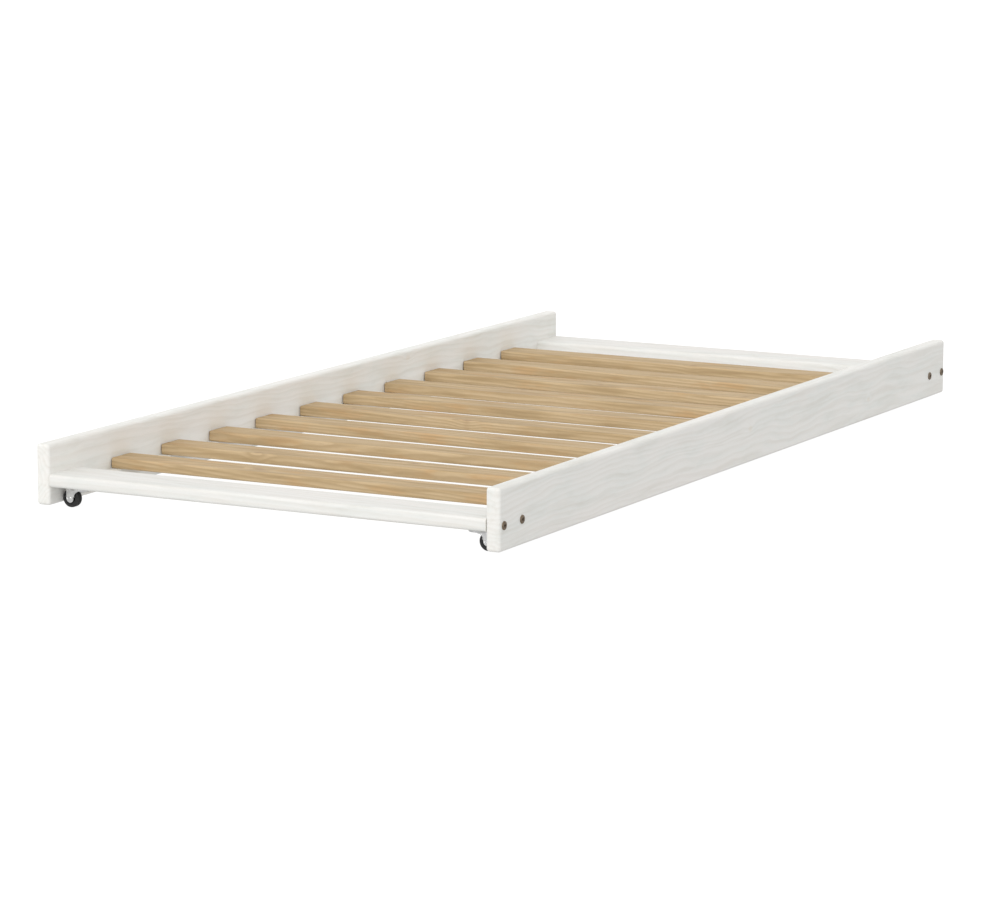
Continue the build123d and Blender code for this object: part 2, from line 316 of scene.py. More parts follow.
# ------------------------------------------------------------------ wood
@dataclass(frozen=True)
class Knot:
    """A knot, by its place from the board's middle and its radius.

    Attributes:
        along: Place along the board.
        across: Place across the board.
        radius: Half its width across the grain.
        stretch: Its length over its width.
    """

    along: float
    across: float
    radius: float
    stretch: float = 1.7

    def distance(self, graph: Graph, along: Wire, across: Wire) -> Wire:
        """Distance of a point from the knot's centre, in radii."""
        down = (along - self.along) / (self.stretch * self.radius)
        over = (across - self.across) / self.radius
        return graph.maths("SQRT", down * down + over * over)


@dataclass(frozen=True)
class Log:
    """Where a board was sawn out of its log.

    Attributes:
        heart_across: Log's heart from the board's centre line, across its width.
        heart_below: Log's heart under the board's middle.
        lean: How far the heart runs across in each metre of length.
        taper: How far the heart sinks in each metre of length.
        seed: Start of the board's own noise.
        knots: The knots that the board shows.
    """

    heart_across: float
    heart_below: float
    lean: float
    taper: float
    seed: float
    knots: tuple[Knot, ...]

    @classmethod
    def sawn(cls, number: int, half_length: float, half_width: float, knots: int) -> "Log":
        """Draws a log for a board from the board's number.

        Args:
            number: The board's own number.
            half_length: Half its length.
            half_width: Half its width.
            knots: How many knots it may have.

        Returns:
            The log that the board is sawn from.
        """
        draw = np.random.default_rng(number)
        across = draw.uniform(-1.4, 1.4) * half_width
        below = draw.uniform(20, 60) * MM
        lean = draw.uniform(-1, 1) * 40 * MM
        taper = draw.uniform(10, 34) * MM
        places = draw.uniform(-0.85, 0.85, (knots, 2)) * (half_length, half_width)
        sizes = draw.uniform(3.0, 6.5, knots) * MM
        placed = tuple(Knot(*place, size) for place, size in zip(places.tolist(), sizes.tolist()))
        return cls(across, below, lean, taper, float(draw.uniform(0, 90)), placed)


@dataclass(frozen=True)
class BoardFigure:
    """Parts of a board's figure, each from 0 to 1 over the surface."""

    late: Wire
    streak: Wire
    fibre: Wire
    cloud: Wire
    mottle: Wire
    knot: Wire
    edge: Wire
    end_grain: Wire


@dataclass(frozen=True)
class Pine:
    """Solid pine: growth rings round the log's heart, with fibre, streaks and knots.

    Attributes:
        ring: Mean width of a year's ring.
        wander: How far the rings wander off round.
        meander: How far the whole grain winds sideways along the board.
        bend: How far the rings bend round a knot.
        edge_reach: How far wear reaches in from an edge.
        end_reach: How far end grain shows round an end's rim.
        winding: Noise that winds the grain.
        slow: Noise that moves the rings.
        scuffs: Noise that breaks up the worn edges.
        streak: Noise of the broad streaks along the grain.
        fibre: Noise of the fine fibre.
        cloud: Noise of the slow change of tone.
        mottle: Noise of the patches between streaks.
        late_start: Where in a ring the late wood comes in.
        late_stop: Where it stops.
        knot_wood: Where knot wood shows, in the knot's radii.
        knot_swirl: Where rings bend round a knot, in its radii.
        relief_depth: Height of the grain's relief.
        shine: Strength of the clear reflection.
    """

    ring: float = 6.4 * MM
    wander: float = 6.0 * MM
    meander: float = 20.0 * MM
    bend: float = 6.0 * MM
    edge_reach: float = 3.0 * MM
    end_reach: float = 0.9 * MM
    winding: Layer = Layer(13.0, 2.0, along=0.42)
    slow: Layer = Layer(26.0, 1.5, along=0.06)
    scuffs: Layer = Layer(160.0, 3.0, along=0.06)
    streak: Layer = Layer(78.0, 3.0, 0.50, along=0.075)
    fibre: Layer = Layer(1500.0, 2.0, 0.60, along=0.03)
    cloud: Layer = Layer(9.0, 2.0, along=0.06)
    mottle: Layer = Layer(42.0, 3.0, 0.55, along=0.24)
    late_start: Veil = Veil(0.15, 0.80)
    late_stop: Veil = Veil(0.84, 1.0, falling=True)
    knot_wood: Veil = Veil(0.5, 1.5, falling=True)
    knot_swirl: Veil = Veil(0.3, 4.5, falling=True)
    relief_depth: float = 0.25 * MM
    shine: float = 0.35

    def figure(self, graph: Graph, low: np.ndarray, high: np.ndarray, log_: Log) -> BoardFigure:
        """Works out a board's figure from its place in the log.

        The board's axes are its longest, middle and shortest side. A point's ring is its
        distance from the leaning heart, plus slow noise, over the ring's width. Late wood is
        the dark last part of each ring. The distance to the nearest edge of the box is the
        middle one of the distances to the three pairs of faces.

        Args:
            graph: The material's graph.
            low: Lowest corner of the board.
            high: Highest corner of the board.
            log_: Where the board was sawn.

        Returns:
            The parts of the figure.
        """
        half = (high - low) / 2
        middle = (high + low) / 2
        order = np.argsort(-half)
        xyz = graph.place()
        along, straight, through = (xyz[axis] - float(middle[axis]) for axis in order)
        inset = [float(half[axis]) - abs(part)
                 for axis, part in zip(order, (along, straight, through))]

        def read(layer: Layer, width: Wire, start: float) -> Wire:
            """One noise of the board, which starts at its own place in the log."""
            return graph.noise(graph.vector(along * layer.along + start, width, through), layer)

        across = straight + (read(self.winding, straight, -log_.seed) - 0.5) * self.meander
        slow = read(self.slow, across, log_.seed)
        scuffs = read(self.scuffs, across, log_.seed)
        distances = [knot.distance(graph, along, straight) for knot in log_.knots]
        knot_wood = along * 0.0
        swirl = along * 0.0
        for distance in distances:
            knot_wood = knot_wood.most(self.knot_wood.over(distance))
            swirl = swirl + self.knot_swirl.over(distance)
        heart_x = across + log_.heart_across + along * log_.lean
        heart_z = through + log_.heart_below + along * log_.taper
        reach = graph.maths("SQRT", heart_x * heart_x + heart_z * heart_z)
        rings = (reach + (slow - 0.5) * (3 * self.wander) + swirl * self.bend) / self.ring
        year = rings.fraction()
        edge_distance = self._middle_one(*inset) + (scuffs - 0.5) * self.edge_reach
        return BoardFigure(
            late=self.late_start.over(year) * self.late_stop.over(year),
            streak=read(self.streak, across, -log_.seed),
            fibre=read(self.fibre, across, log_.seed),
            cloud=read(self.cloud, across, log_.seed),
            mottle=read(self.mottle, across, log_.seed),
            knot=knot_wood,
            edge=1.0 - edge_distance.rise(0, self.edge_reach),
            end_grain=1.0 - inset[0].rise(0.0, self.end_reach),
        )

    @staticmethod
    def _middle_one(first: Wire, second: Wire, third: Wire) -> Wire:
        """The middle one of three values."""
        return first.least(second).most(first.most(second).least(third))


@dataclass(frozen=True)
class NaturalPine(Pine):
    """Bare planed pine of the slats, warm tan with darker late wood."""

    early: Colour = (0.520, 0.378, 0.206)
    late: Colour = (0.350, 0.238, 0.118)
    pale: Colour = (0.605, 0.455, 0.272)
    amber: Colour = (0.550, 0.335, 0.150)
    knot_tone: Colour = (0.320, 0.185, 0.085)
    end_tone: Colour = (0.62, 0.52, 0.42)
    pale_streaks: Veil = Veil(0.36, 0.68)
    amber_patches: Veil = Veil(0.50, 0.70, 0.60)
    dark_streaks: Veil = Veil(0.28, 0.50, 0.60, falling=True)
    dark_fibre: Veil = Veil(0.50, 0.72, 0.22)

    def dress(self, name: str, low: np.ndarray, high: np.ndarray, log_: Log) -> bpy.types.Material:
        """Makes the material of one slat, given its box and its log."""
        graph = Graph.of_material(name)
        part = self.figure(graph, low, high, log_)
        tone = graph.mix(self.pale_streaks.over(part.streak), self.early, self.pale)
        tone = graph.mix(self.amber_patches.over(part.mottle), tone, self.amber)
        tone = graph.mix(part.late * (0.12 + part.streak * 0.62), tone, self.late)
        tone = graph.mix(self.dark_streaks.over(part.streak), tone, self.late)
        tone = graph.mix(self.dark_fibre.over(part.fibre), tone, self.late)
        tone = graph.mix(part.knot * 0.60, tone, self.knot_tone)
        tone = graph.mix(part.end_grain * 0.60, tone, self.end_tone, "MULTIPLY")
        tone = graph.mix(part.edge * 0.18, tone, self.pale)
        rough = 0.62 + part.fibre * 0.14 - part.late * 0.10 - part.knot * 0.12
        relief = part.late * 0.45 + part.fibre * 0.35 + part.streak * 0.20
        return graph.finish(tone, rough, relief, self.relief_depth, {"Specular IOR Level": self.shine})


@dataclass(frozen=True)
class WhitewashedPine(Pine):
    """Pine under a thin white wash that lets the grain through."""

    ring: float = 9.0 * MM
    wander: float = 9.0 * MM
    meander: float = 34.0 * MM
    relief_depth: float = 0.22 * MM
    shine: float = 0.40
    # Scale of this board's wash colours. It is painted light: a brighter or darker copy of the same
    # wash that stands in for how brightly the board is lit.
    painted_brightness: float = 1.0
    wash: Colour = (0.850, 0.840, 0.808)
    cool: Colour = (0.812, 0.822, 0.792)
    warm: Colour = (0.862, 0.820, 0.785)
    grain: Colour = (0.640, 0.600, 0.530)
    bare: Colour = (0.700, 0.590, 0.440)
    full_wash: Veil = Veil(0.34, 0.62)
    warm_clouds: Veil = Veil(0.48, 0.72, 0.55)
    thin_streaks: Veil = Veil(0.28, 0.52, 0.18, falling=True)
    thin_patches: Veil = Veil(0.26, 0.46, 0.16, falling=True)
    thin_fibre: Veil = Veil(0.48, 0.72, 0.15)

    def dress(self, name: str, low: np.ndarray, high: np.ndarray, log_: Log) -> bpy.types.Material:
        """Makes the material of one board, given its box and its log."""
        graph = Graph.of_material(name)
        part = self.figure(graph, low, high, log_)
        # Wash colours scaled by the board's painted brightness, which is painted light for how brightly
        # the board is lit.
        cool, wash, warm, grain = (
            tuple(self.painted_brightness * share for share in colour)
            for colour in (self.cool, self.wash, self.warm, self.grain))
        tone = graph.mix(self.full_wash.over(part.mottle), cool, wash)
        tone = graph.mix(self.warm_clouds.over(part.cloud), tone, warm)
        veins = part.late * 0.16 + self.thin_streaks.over(part.streak)
        tone = graph.mix(veins + self.thin_patches.over(part.mottle), tone, grain)
        tone = graph.mix(self.thin_fibre.over(part.fibre), tone, grain)
        tone = graph.mix(part.knot * 0.22, tone, self.bare)
        tone = graph.mix(part.edge * 0.07, tone, self.bare)
        tone = graph.mix(part.end_grain * 0.08, tone, grain)
        rough = 0.48 + part.fibre * 0.12 + part.edge * 0.08 - part.knot * 0.05
        relief = part.late * 0.40 + part.fibre * 0.35 + part.streak * 0.25
        return graph.finish(tone, rough, relief, self.relief_depth, {"Specular IOR Level": self.shine})


# ------------------------------------------------------------------ metal, plastic and rubber
@dataclass(frozen=True)
class MetalFinish:
    """A plated or coloured metal with clouding, fine scratches and rubbed edges.

    Attributes:
        slot: The record's finish.
        tone: Colour of the plating.
        cloud: Colour of the duller patches.
        rubbed: Colour where edges are rubbed bright.
        gloss: Roughness of the clean plating.
        patches: Noise of the clouding.
        scratches: Noise of the fine scratches.
        specks: Noise of the finest grain.
        scratch_across: How much denser the scratches lie across their run.
        scratch_along: How much denser they lie along it.
        clouded: Where clouding shows.
        scratched: Where scratches show.
        bared: Where wear has rubbed an edge bright.
    """

    slot: Slot
    tone: Colour
    cloud: Colour
    rubbed: Colour
    gloss: float
    patches: Layer = Layer(160.0, 3.0)
    scratches: Layer = Layer(420.0, 1.0)
    specks: Layer = Layer(1900.0, 2.0)
    scratch_across: float = 7.0
    scratch_along: float = 0.7
    clouded: Veil = Veil(0.36, 0.66)
    scratched: Veil = Veil(0.62, 0.80)
    bared: Veil = Veil(0.30, 0.85)

    def dress(self) -> bpy.types.Material:
        """Makes the material."""
        graph = Graph.of_material(self.slot.value + "_finish")
        x, y, z = graph.place()
        point = graph.vector(x, y, z)
        run = graph.vector(x * self.scratch_across, y * self.scratch_along, z * self.scratch_across)
        clouding = self.clouded.over(graph.noise(point, self.patches))
        lines = self.scratched.over(graph.noise(run, self.scratches))
        speck = graph.noise(point, self.specks)
        rubbed = self.bared.over(graph.wear() * (0.55 + speck * 0.7))
        tone = graph.mix(clouding * 0.65, self.tone, self.cloud)
        tone = graph.mix(lines * 0.22, tone, self.rubbed)
        tone = graph.mix(rubbed * 0.75, tone, self.rubbed)
        rough = self.gloss + clouding * 0.12 + speck * 0.08 - rubbed * 0.10 + lines * 0.06
        relief = speck * 0.6 + lines * 0.4
        return graph.finish(tone, rough, relief, 0.04 * MM, {"Metallic": 1.0})


@dataclass(frozen=True)
class MouldedFinish:
    """Moulded plastic or rubber with a fine grain, scuffed edges and a little dust.

    Attributes:
        slot: The record's finish.
        tone: Colour of the material.
        scuffed: Colour of scuffs on edges.
        dust: Colour of the dust that settles in patches.
        dullness: Roughness of the clean surface.
        grain_depth: Height of the moulded grain.
        grain: Noise of the moulded grain.
        patches: Noise of the dust and scuffs.
        scuffs: Where wear has scuffed an edge.
        dusty: Where dust lies.
        dulled: Where the surface is duller, as added roughness.
    """

    slot: Slot
    tone: Colour
    scuffed: Colour
    dust: Colour
    dullness: float
    grain_depth: float
    grain: Layer = Layer(2600.0, 3.0, 0.60)
    patches: Layer = Layer(210.0, 4.0, 0.62)
    scuffs: Veil = Veil(0.32, 0.90)
    dusty: Veil = Veil(0.52, 0.74, 0.30)
    dulled: Veil = Veil(0.40, 0.70, 0.14)

    def dress(self) -> bpy.types.Material:
        """Makes the material."""
        graph = Graph.of_material(self.slot.value + "_finish")
        point = graph.vector(*graph.place())
        grain = graph.noise(point, self.grain)
        patches = graph.noise(point, self.patches)
        scuff = self.scuffs.over(graph.wear() * (0.4 + patches * 0.9))
        tone = graph.mix(self.dusty.over(patches), self.tone, self.dust)
        tone = graph.mix(scuff * 0.6, tone, self.scuffed)
        rough = self.dullness + self.dulled.over(patches) + scuff * 0.08
        relief = grain * 0.7 + patches * 0.3
        return graph.finish(tone, rough, relief, self.grain_depth, {"Specular IOR Level": 0.45})


@dataclass(frozen=True)
class BeechFinish:
    """Pale beech of the dowels, with short dark flecks along the grain."""

    slot: Slot = Slot.BEECH_DOWEL
    tone: Colour = (0.560, 0.390, 0.240)
    fleck: Colour = (0.330, 0.190, 0.100)
    flecks: Layer = Layer(1300.0, 2.0, along=0.2)
    bands: Layer = Layer(260.0, 2.0, along=0.1)
    dark_flecks: Veil = Veil(0.55, 0.72, 0.60)
    dark_bands: Veil = Veil(0.40, 0.70, 0.25)

    def dress(self) -> bpy.types.Material:
        """Makes the material."""
        graph = Graph.of_material(self.slot.value + "_finish")
        x, y, z = graph.place()
        flecks, band = (graph.noise(graph.vector(x * layer.along, y, z), layer)
                        for layer in (self.flecks, self.bands))
        tone = graph.mix(self.dark_flecks.over(flecks), self.tone, self.fleck)
        tone = graph.mix(self.dark_bands.over(band), tone, self.fleck)
        rough = 0.6 + flecks * 0.15
        return graph.finish(tone, rough, flecks, 0.08 * MM, {"Specular IOR Level": 0.3})


# ------------------------------------------------------------------ surfaces
def rounded(corners: Sequence[Corner], steps: int = 4) -> np.ndarray:
    """Outline through corners, each softened by a short curve.

    The outline runs round, so the first and last corner of an open one carry no cut.
    A corner c with cut k becomes the points (1-t)^2 p + 2t(1-t) c + t^2 q for t from 0 to 1,
    where p and q lie k before and k after c. Wear is 4t(1-t): 1 in a corner's middle.

    Args:
        corners: Two coordinates and the cut of each corner.
        steps: Spans in each corner's curve.

    Returns:
        Rows of two coordinates and wear.
    """
    corner = np.array(corners, float)
    place, cut = corner[:, :2], corner[:, 2:]
    ahead = np.roll(place, -1, axis=0) - place
    behind = np.roll(place, 1, axis=0) - place
    before = place + behind / np.linalg.norm(behind, axis=1, keepdims=True) * cut
    after = place + ahead / np.linalg.norm(ahead, axis=1, keepdims=True) * cut
    t = np.linspace(0, 1, steps + 1)[None, :, None]
    curve = (1 - t) ** 2 * before[:, None] + 2 * t * (1 - t) * place[:, None] + t ** 2 * after[:, None]
    wear = np.broadcast_to(4 * t * (1 - t) * (cut[:, None] > 0), curve.shape[:2] + (1,))
    rows = np.concatenate([curve, wear], axis=2).reshape(-1, 3)
    apart = np.linalg.norm(np.diff(rows[:, :2], axis=0), axis=1) > SAME_PLACE
    kept = np.concatenate([[True], apart])
    return rows[kept]


@dataclass(frozen=True)
class Shell:
    """A skin of quads: corner points, the four corners of each quad, and wear at each point."""

    points: np.ndarray
    quads: np.ndarray
    wear: np.ndarray

    @classmethod
    def grid(cls, surface: np.ndarray, wear: np.ndarray | float = 0.0, round_rows: bool = False,
             round_columns: bool = True) -> "Shell":
        """Joins a grid of points into quads.

        Args:
            surface: Points by row and column.
            wear: Wear at each point, or one value for all.
            round_rows: Whether the last row joins the first.
            round_columns: Whether the last column joins the first.

        Returns:
            The skin.
        """
        rows, columns = surface.shape[:2]
        number = np.arange(rows * columns).reshape(rows, columns)
        number = np.vstack([number, number[:1]]) if round_rows else number
        number = np.hstack([number, number[:, :1]]) if round_columns else number
        quads = np.stack(
            [number[:-1, :-1], number[:-1, 1:], number[1:, 1:], number[1:, :-1]], axis=-1)
        spread = np.broadcast_to(wear, (rows, columns)).reshape(-1)
        return cls(surface.reshape(-1, 3), quads.reshape(-1, 4), spread)

    def placed(self, places: np.ndarray, turns: np.ndarray) -> "Shell":
        """Copies the skin: point p of each copy is that copy's turn of p, plus its place.

        Args:
            places: One place for each copy.
            turns: One 3 x 3 turn for all copies, or one for each.

        Returns:
            All copies as one skin.
        """
        turns = np.broadcast_to(turns, (len(places), 3, 3))
        points = np.einsum("nij,pj->npi", turns, self.points) + places[:, None, :]
        step = np.arange(len(places))[:, None, None] * len(self.points)
        quads = (self.quads[None] + step).reshape(-1, 4)
        return Shell(points.reshape(-1, 3), quads, np.tile(self.wear, len(places)))

    def joined(self, other: "Shell") -> "Shell":
        """Two skins in one."""
        return Shell(
            np.vstack([self.points, other.points]),
            np.vstack([self.quads, other.quads + len(self.points)]),
            np.concatenate([self.wear, other.wear]),
        )


def turned(profile: np.ndarray, columns: int = 48, closed: bool = False,
           swell: np.ndarray | float = 0.0) -> Shell:
    """Turns a profile about the Z axis.

    The point at profile row s and angle t is (R cos t, R sin t, z(s)), where R is the row's
    radius plus the swell at that row and angle.

    Args:
        profile: Rows of radius, height and wear.
        columns: Number of angles.
        closed: Whether the profile's last row joins its first.
        swell: Added radius by row and column.

    Returns:
        The turned skin.
    """
    angle = around(columns)
    radius = profile[:, :1] + swell
    height = np.broadcast_to(profile[:, 1:2], (len(profile), columns))
    surface = np.stack([radius * np.cos(angle), radius * np.sin(angle), height], axis=-1)
    return Shell.grid(surface, profile[:, 2:3], round_rows=closed)


def pressed(surface: np.ndarray, wear: np.ndarray, thickness: float, round_columns: bool) -> Shell:
    """Gives an open sheet its thickness and rounds its rims.

    The inner face is the outer point less the thickness along the unit normal, which is the
    cross product of the steps along a column and a row. On a rim two points stand a quarter
    and three quarters of the way from the outer face to the inner one, moved out by 0.3 of
    the thickness.

    Args:
        surface: Points of the outer face by row and column.
        wear: Wear at each point.
        thickness: The sheet's thickness; a negative one lies on the other side.
        round_columns: Whether the last column joins the first, which leaves rims at the first
            and last row. Otherwise the rims are at the first and last column.

    Returns:
        The closed skin.
    """
    wear = np.broadcast_to(wear, surface.shape[:2])
    if not round_columns:
        surface, wear = surface.swapaxes(0, 1), wear.swapaxes(0, 1)
    down = np.gradient(surface, axis=0)
    wrapped = np.roll(surface, -1, axis=1) - np.roll(surface, 1, axis=1)
    over = wrapped if round_columns else np.gradient(surface, axis=1)
    normal = np.cross(down, over)
    normal /= np.linalg.norm(normal, axis=2, keepdims=True)
    inner = surface - thickness * normal

    def rim(row: int, beside: int) -> np.ndarray:
        """The two rim points of each column at a row, whose neighbour is the row beside it."""
        away = surface[row] - surface[beside]
        away = away / np.linalg.norm(away, axis=1, keepdims=True)
        share = np.array([0.25, 0.75])[:, None, None]
        across = surface[row] + share * (inner[row] - surface[row])
        return across + 0.3 * abs(thickness) * away

    loop = np.concatenate([surface, rim(-1, -2), inner[::-1], rim(0, 1)[::-1]])
    edge = np.ones((2, surface.shape[1]))
    loop_wear = np.concatenate([wear, edge, 0.4 * wear[::-1], edge])
    shell = Shell.grid(loop, loop_wear, round_rows=True, round_columns=round_columns)
    if round_columns:
        return shell
    rows, columns = surface.shape[:2]
    outer = np.arange(rows)
    facing = 2 * rows + 1 - outer
    strip = np.stack([outer[:-1], outer[1:], facing[1:], facing[:-1]], axis=-1)
    last_rim = (rows - 1, rows, rows + 1, rows + 2)
    first_rim = (2 * rows + 1, 2 * rows + 2, 2 * rows + 3, 0)
    cap = np.vstack([strip, last_rim, first_rim]) * columns
    return Shell(shell.points, np.vstack([shell.quads, cap, cap + columns - 1]), shell.wear)


def mirrored(corners: Sequence[Corner]) -> list[Corner]:
    """The corners on the other side of height 0, in the opposite order."""
    return [(radius, -height, cut) for radius, height, cut in reversed(corners)]


def around(columns: int) -> np.ndarray:
    """One row of angles, evenly round the circle."""
    return np.linspace(0, tau, columns, endpoint=False)[None, :]


def bell(values: np.ndarray, middle: float, width: float) -> np.ndarray:
    """Bell curve of an array: 1 at the middle, 1/e at a width from it."""
    return np.exp(-((values - middle) / width) ** 2)


def centre_of(node: str) -> Corner:
    """Middle of a node's box."""
    low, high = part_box(node)
    return (low.x + high.x) / 2, (low.y + high.y) / 2, (low.z + high.z) / 2


def slat_nodes() -> list[str]:
    """Names of the slats' nodes, from the foot up."""
    return sorted(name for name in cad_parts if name.startswith("slat_") and name[-1].isdigit())


def lay_on(node: str, material: bpy.types.Material) -> None:
    """Gives one of the frame's nodes a material."""
    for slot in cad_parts[node].material_slots:
        slot.material = material
    log.info("%s: %s", node, material.name)


def eased(values: np.ndarray, low: float, high: float) -> np.ndarray:
    """Smooth step of an array: 0 up to low, 1 from high, eased between."""
    share = np.clip((values - low) / (high - low), 0, 1)
    return share * share * (3 - 2 * share)


# Turn of a piece whose Z axis is to point this way: up, down, along X or along Y.
AXIS_TURNS = {
    "up": np.eye(3),
    "down": np.diag([1.0, -1.0, -1.0]),
    "right": np.array([[0.0, 0.0, 1.0], [0.0, 1.0, 0.0], [-1.0, 0.0, 0.0]]),
    "left": np.array([[0.0, 0.0, -1.0], [0.0, 1.0, 0.0], [1.0, 0.0, 0.0]]),
    "along": np.array([[1.0, 0.0, 0.0], [0.0, 0.0, 1.0], [0.0, -1.0, 0.0]]),
}


@dataclass(frozen=True)
class Workshop:
    """Makes finished pieces out of skins and keeps each finish's material.

    Attributes:
        materials: Material of each finish.
        crease: Angle in degrees above which an edge shows sharp.
        seam: Distance under which points are merged.
    """

    materials: dict[Slot, bpy.types.Material]
    crease: float = 40.0
    seam: float = 0.002 * MM

    def piece(self, name: str, shell: Shell, slot: Slot, body: str, node: str) -> None:
        """Makes an object from a skin, closes it and rides it on its body.

        Args:
            name: The piece's name.
            shell: Its skin, in the bed's frame.
            slot: Its finish.
            body: The body that it moves with.
            node: The frame's node that it stands for.
        """
        mesh = bpy.data.meshes.new(name)
        mesh.from_pydata(shell.points.tolist(), [], shell.quads.tolist())
        wear = mesh.attributes.new("wear", "FLOAT", "POINT")
        wear.data.foreach_set("value", shell.wear.astype(np.float32))
        self._close(mesh)
        mesh.shade_smooth()
        mesh.set_sharp_from_angle(angle=radians(self.crease))
        mesh.materials.append(self.materials[slot])
        thing = bpy.data.objects.new(name, mesh)
        bpy.context.scene.collection.objects.link(thing)
        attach(thing, body)
        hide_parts(node)
        log.info("%s: %d points, on %s", name, len(mesh.vertices), body)

    def _close(self, mesh: bpy.types.Mesh) -> None:
        """Merges seams and poles, then turns every face outwards."""
        work = bmesh.new()
        work.from_mesh(mesh)
        bmesh.ops.remove_doubles(work, verts=work.verts, dist=self.seam)
        bmesh.ops.dissolve_degenerate(work, edges=work.edges, dist=self.seam / 4)
        bmesh.ops.recalc_face_normals(work, faces=work.faces)
        work.to_mesh(mesh)
        work.free()


# ------------------------------------------------------------------ screws, bolts, nuts, dowels
@dataclass(frozen=True)
class Thread:
    """A rolled thread.

    Attributes:
        pitch: Height of one turn.
        ridge: Height of the thread above its core.
        rows_a_turn: Rows of points in each turn.
    """

    pitch: float
    ridge: float
    rows_a_turn: int = 5

    def rows(self, radius: float, top: float, bottom: float) -> np.ndarray:
        """Profile rows down a threaded length, close enough to carry the thread."""
        count = max(4, int((top - bottom) / self.pitch * self.rows_a_turn))
        height = np.linspace(top, bottom, count)
        return np.stack([np.full(count, radius), height, np.full(count, 0.35)], axis=1)

    def swell(self, profile: np.ndarray, angle: np.ndarray, top: float, bottom: float) -> np.ndarray:
        """Radius that the thread takes off its crest.

        At height z and angle t the thread's phase is z/pitch - t/360 degrees. The core lies a
        ridge below the crest, and the wave between them is a triangle, faded out at both ends.

        Args:
            profile: Rows of radius, height and wear.
            angle: Angles by row and column.
            top: Height where the thread starts.
            bottom: Height where it ends.

        Returns:
            Added radius, never above zero.
        """
        height = profile[:, 1:2]
        phase = (height / self.pitch - angle / tau) % 1.0
        wave = np.abs(2 * phase - 1)
        inside = eased(top - height, 0, self.pitch) * eased(height - bottom, 0, 0.6 * self.pitch)
        return -self.ridge * (1 - wave) * inside


@dataclass(frozen=True)
class Recess:
    """A driver's recess with straight arms.

    Attributes:
        arms: Number of arms: 4 for a cross, 2 for a slot.
        half_width: Half an arm's width.
        reach: Length of an arm from the centre.
        depth: How deep it goes.
        between: Columns of points from one arm to the next.
        wall: Half the width of its sloping wall.
    """

    arms: int
    half_width: float
    reach: float
    depth: float
    between: int = 4
    wall: float = 0.05 * MM

    @property
    def core(self) -> float:
        """Radius inside which the arms meet."""
        return self.half_width / sin(pi / self.arms)

    def radii(self, rim: float) -> np.ndarray:
        """Radii of the rows across a head, with a pair at each wall."""
        inner = (0.0, 0.5 * self.core, 0.97 * self.core, 1.06 * self.core)
        walls = (0.6 * self.reach, self.reach - self.wall, self.reach + self.wall)
        return np.array((*inner, *walls, 0.55 * (self.reach + rim)))

    def angles(self, radius: np.ndarray) -> np.ndarray:
        """Angles by row and column: three columns run along each arm, the rest between arms.

        An arm's edge at radius r stands at the angle whose sine is half_width / r.

        Args:
            radius: Radius of each row.

        Returns:
            The angles, row by row.
        """
        sector = tau / self.arms
        safe = np.maximum(radius, 0.2 * self.half_width)
        lean = np.minimum(self.wall / safe, 0.12 * sector)
        edge = np.arcsin(np.minimum(self.half_width / safe, 1.0))
        edge = np.minimum(edge, 0.5 * sector - 1.3 * lean)
        arm = np.linspace(-1, 1, 3)[None, :] * (edge - lean)[:, None]
        share = np.linspace(0, 1, self.between)[None, :]
        start, stop = (edge + lean)[:, None], (sector - edge - lean)[:, None]
        sector_columns = np.hstack([arm, start + share * (stop - start)])
        starts = np.arange(self.arms)[None, :, None] * sector
        return (starts + sector_columns[:, None, :]).reshape(len(radius), -1)

    def drop(self, radius: np.ndarray) -> np.ndarray:
        """Depth by row and column: full in the arms up to their reach, and in the core."""
        in_arm = np.concatenate([np.ones(3), np.zeros(self.between)])
        columns = np.tile(in_arm, self.arms)[None, :]
        core = (radius < self.core)[:, None]
        arms = (radius < self.reach)[:, None] * columns
        return self.depth * np.maximum(core, arms)

    def sunk(self, profile: np.ndarray, face_rows: int, swell: np.ndarray | float = 0.0) -> Shell:
        """Turns a profile about the Z axis, with the recess sunk into its face.

        Args:
            profile: Rows of radius, height and wear, the face first.
            face_rows: Number of rows on the face.
            swell: Added radius by row and column.

        Returns:
            The turned skin.
        """
        angle = self.angles(profile[:, 0])
        drop = np.zeros_like(angle)
        drop[:face_rows] = self.drop(profile[:face_rows, 0])
        radius = profile[:, :1] + swell
        surface = np.stack([radius * np.cos(angle), radius * np.sin(angle), profile[:, 1:2] - drop], -1)
        return Shell.grid(surface, profile[:, 2:3])


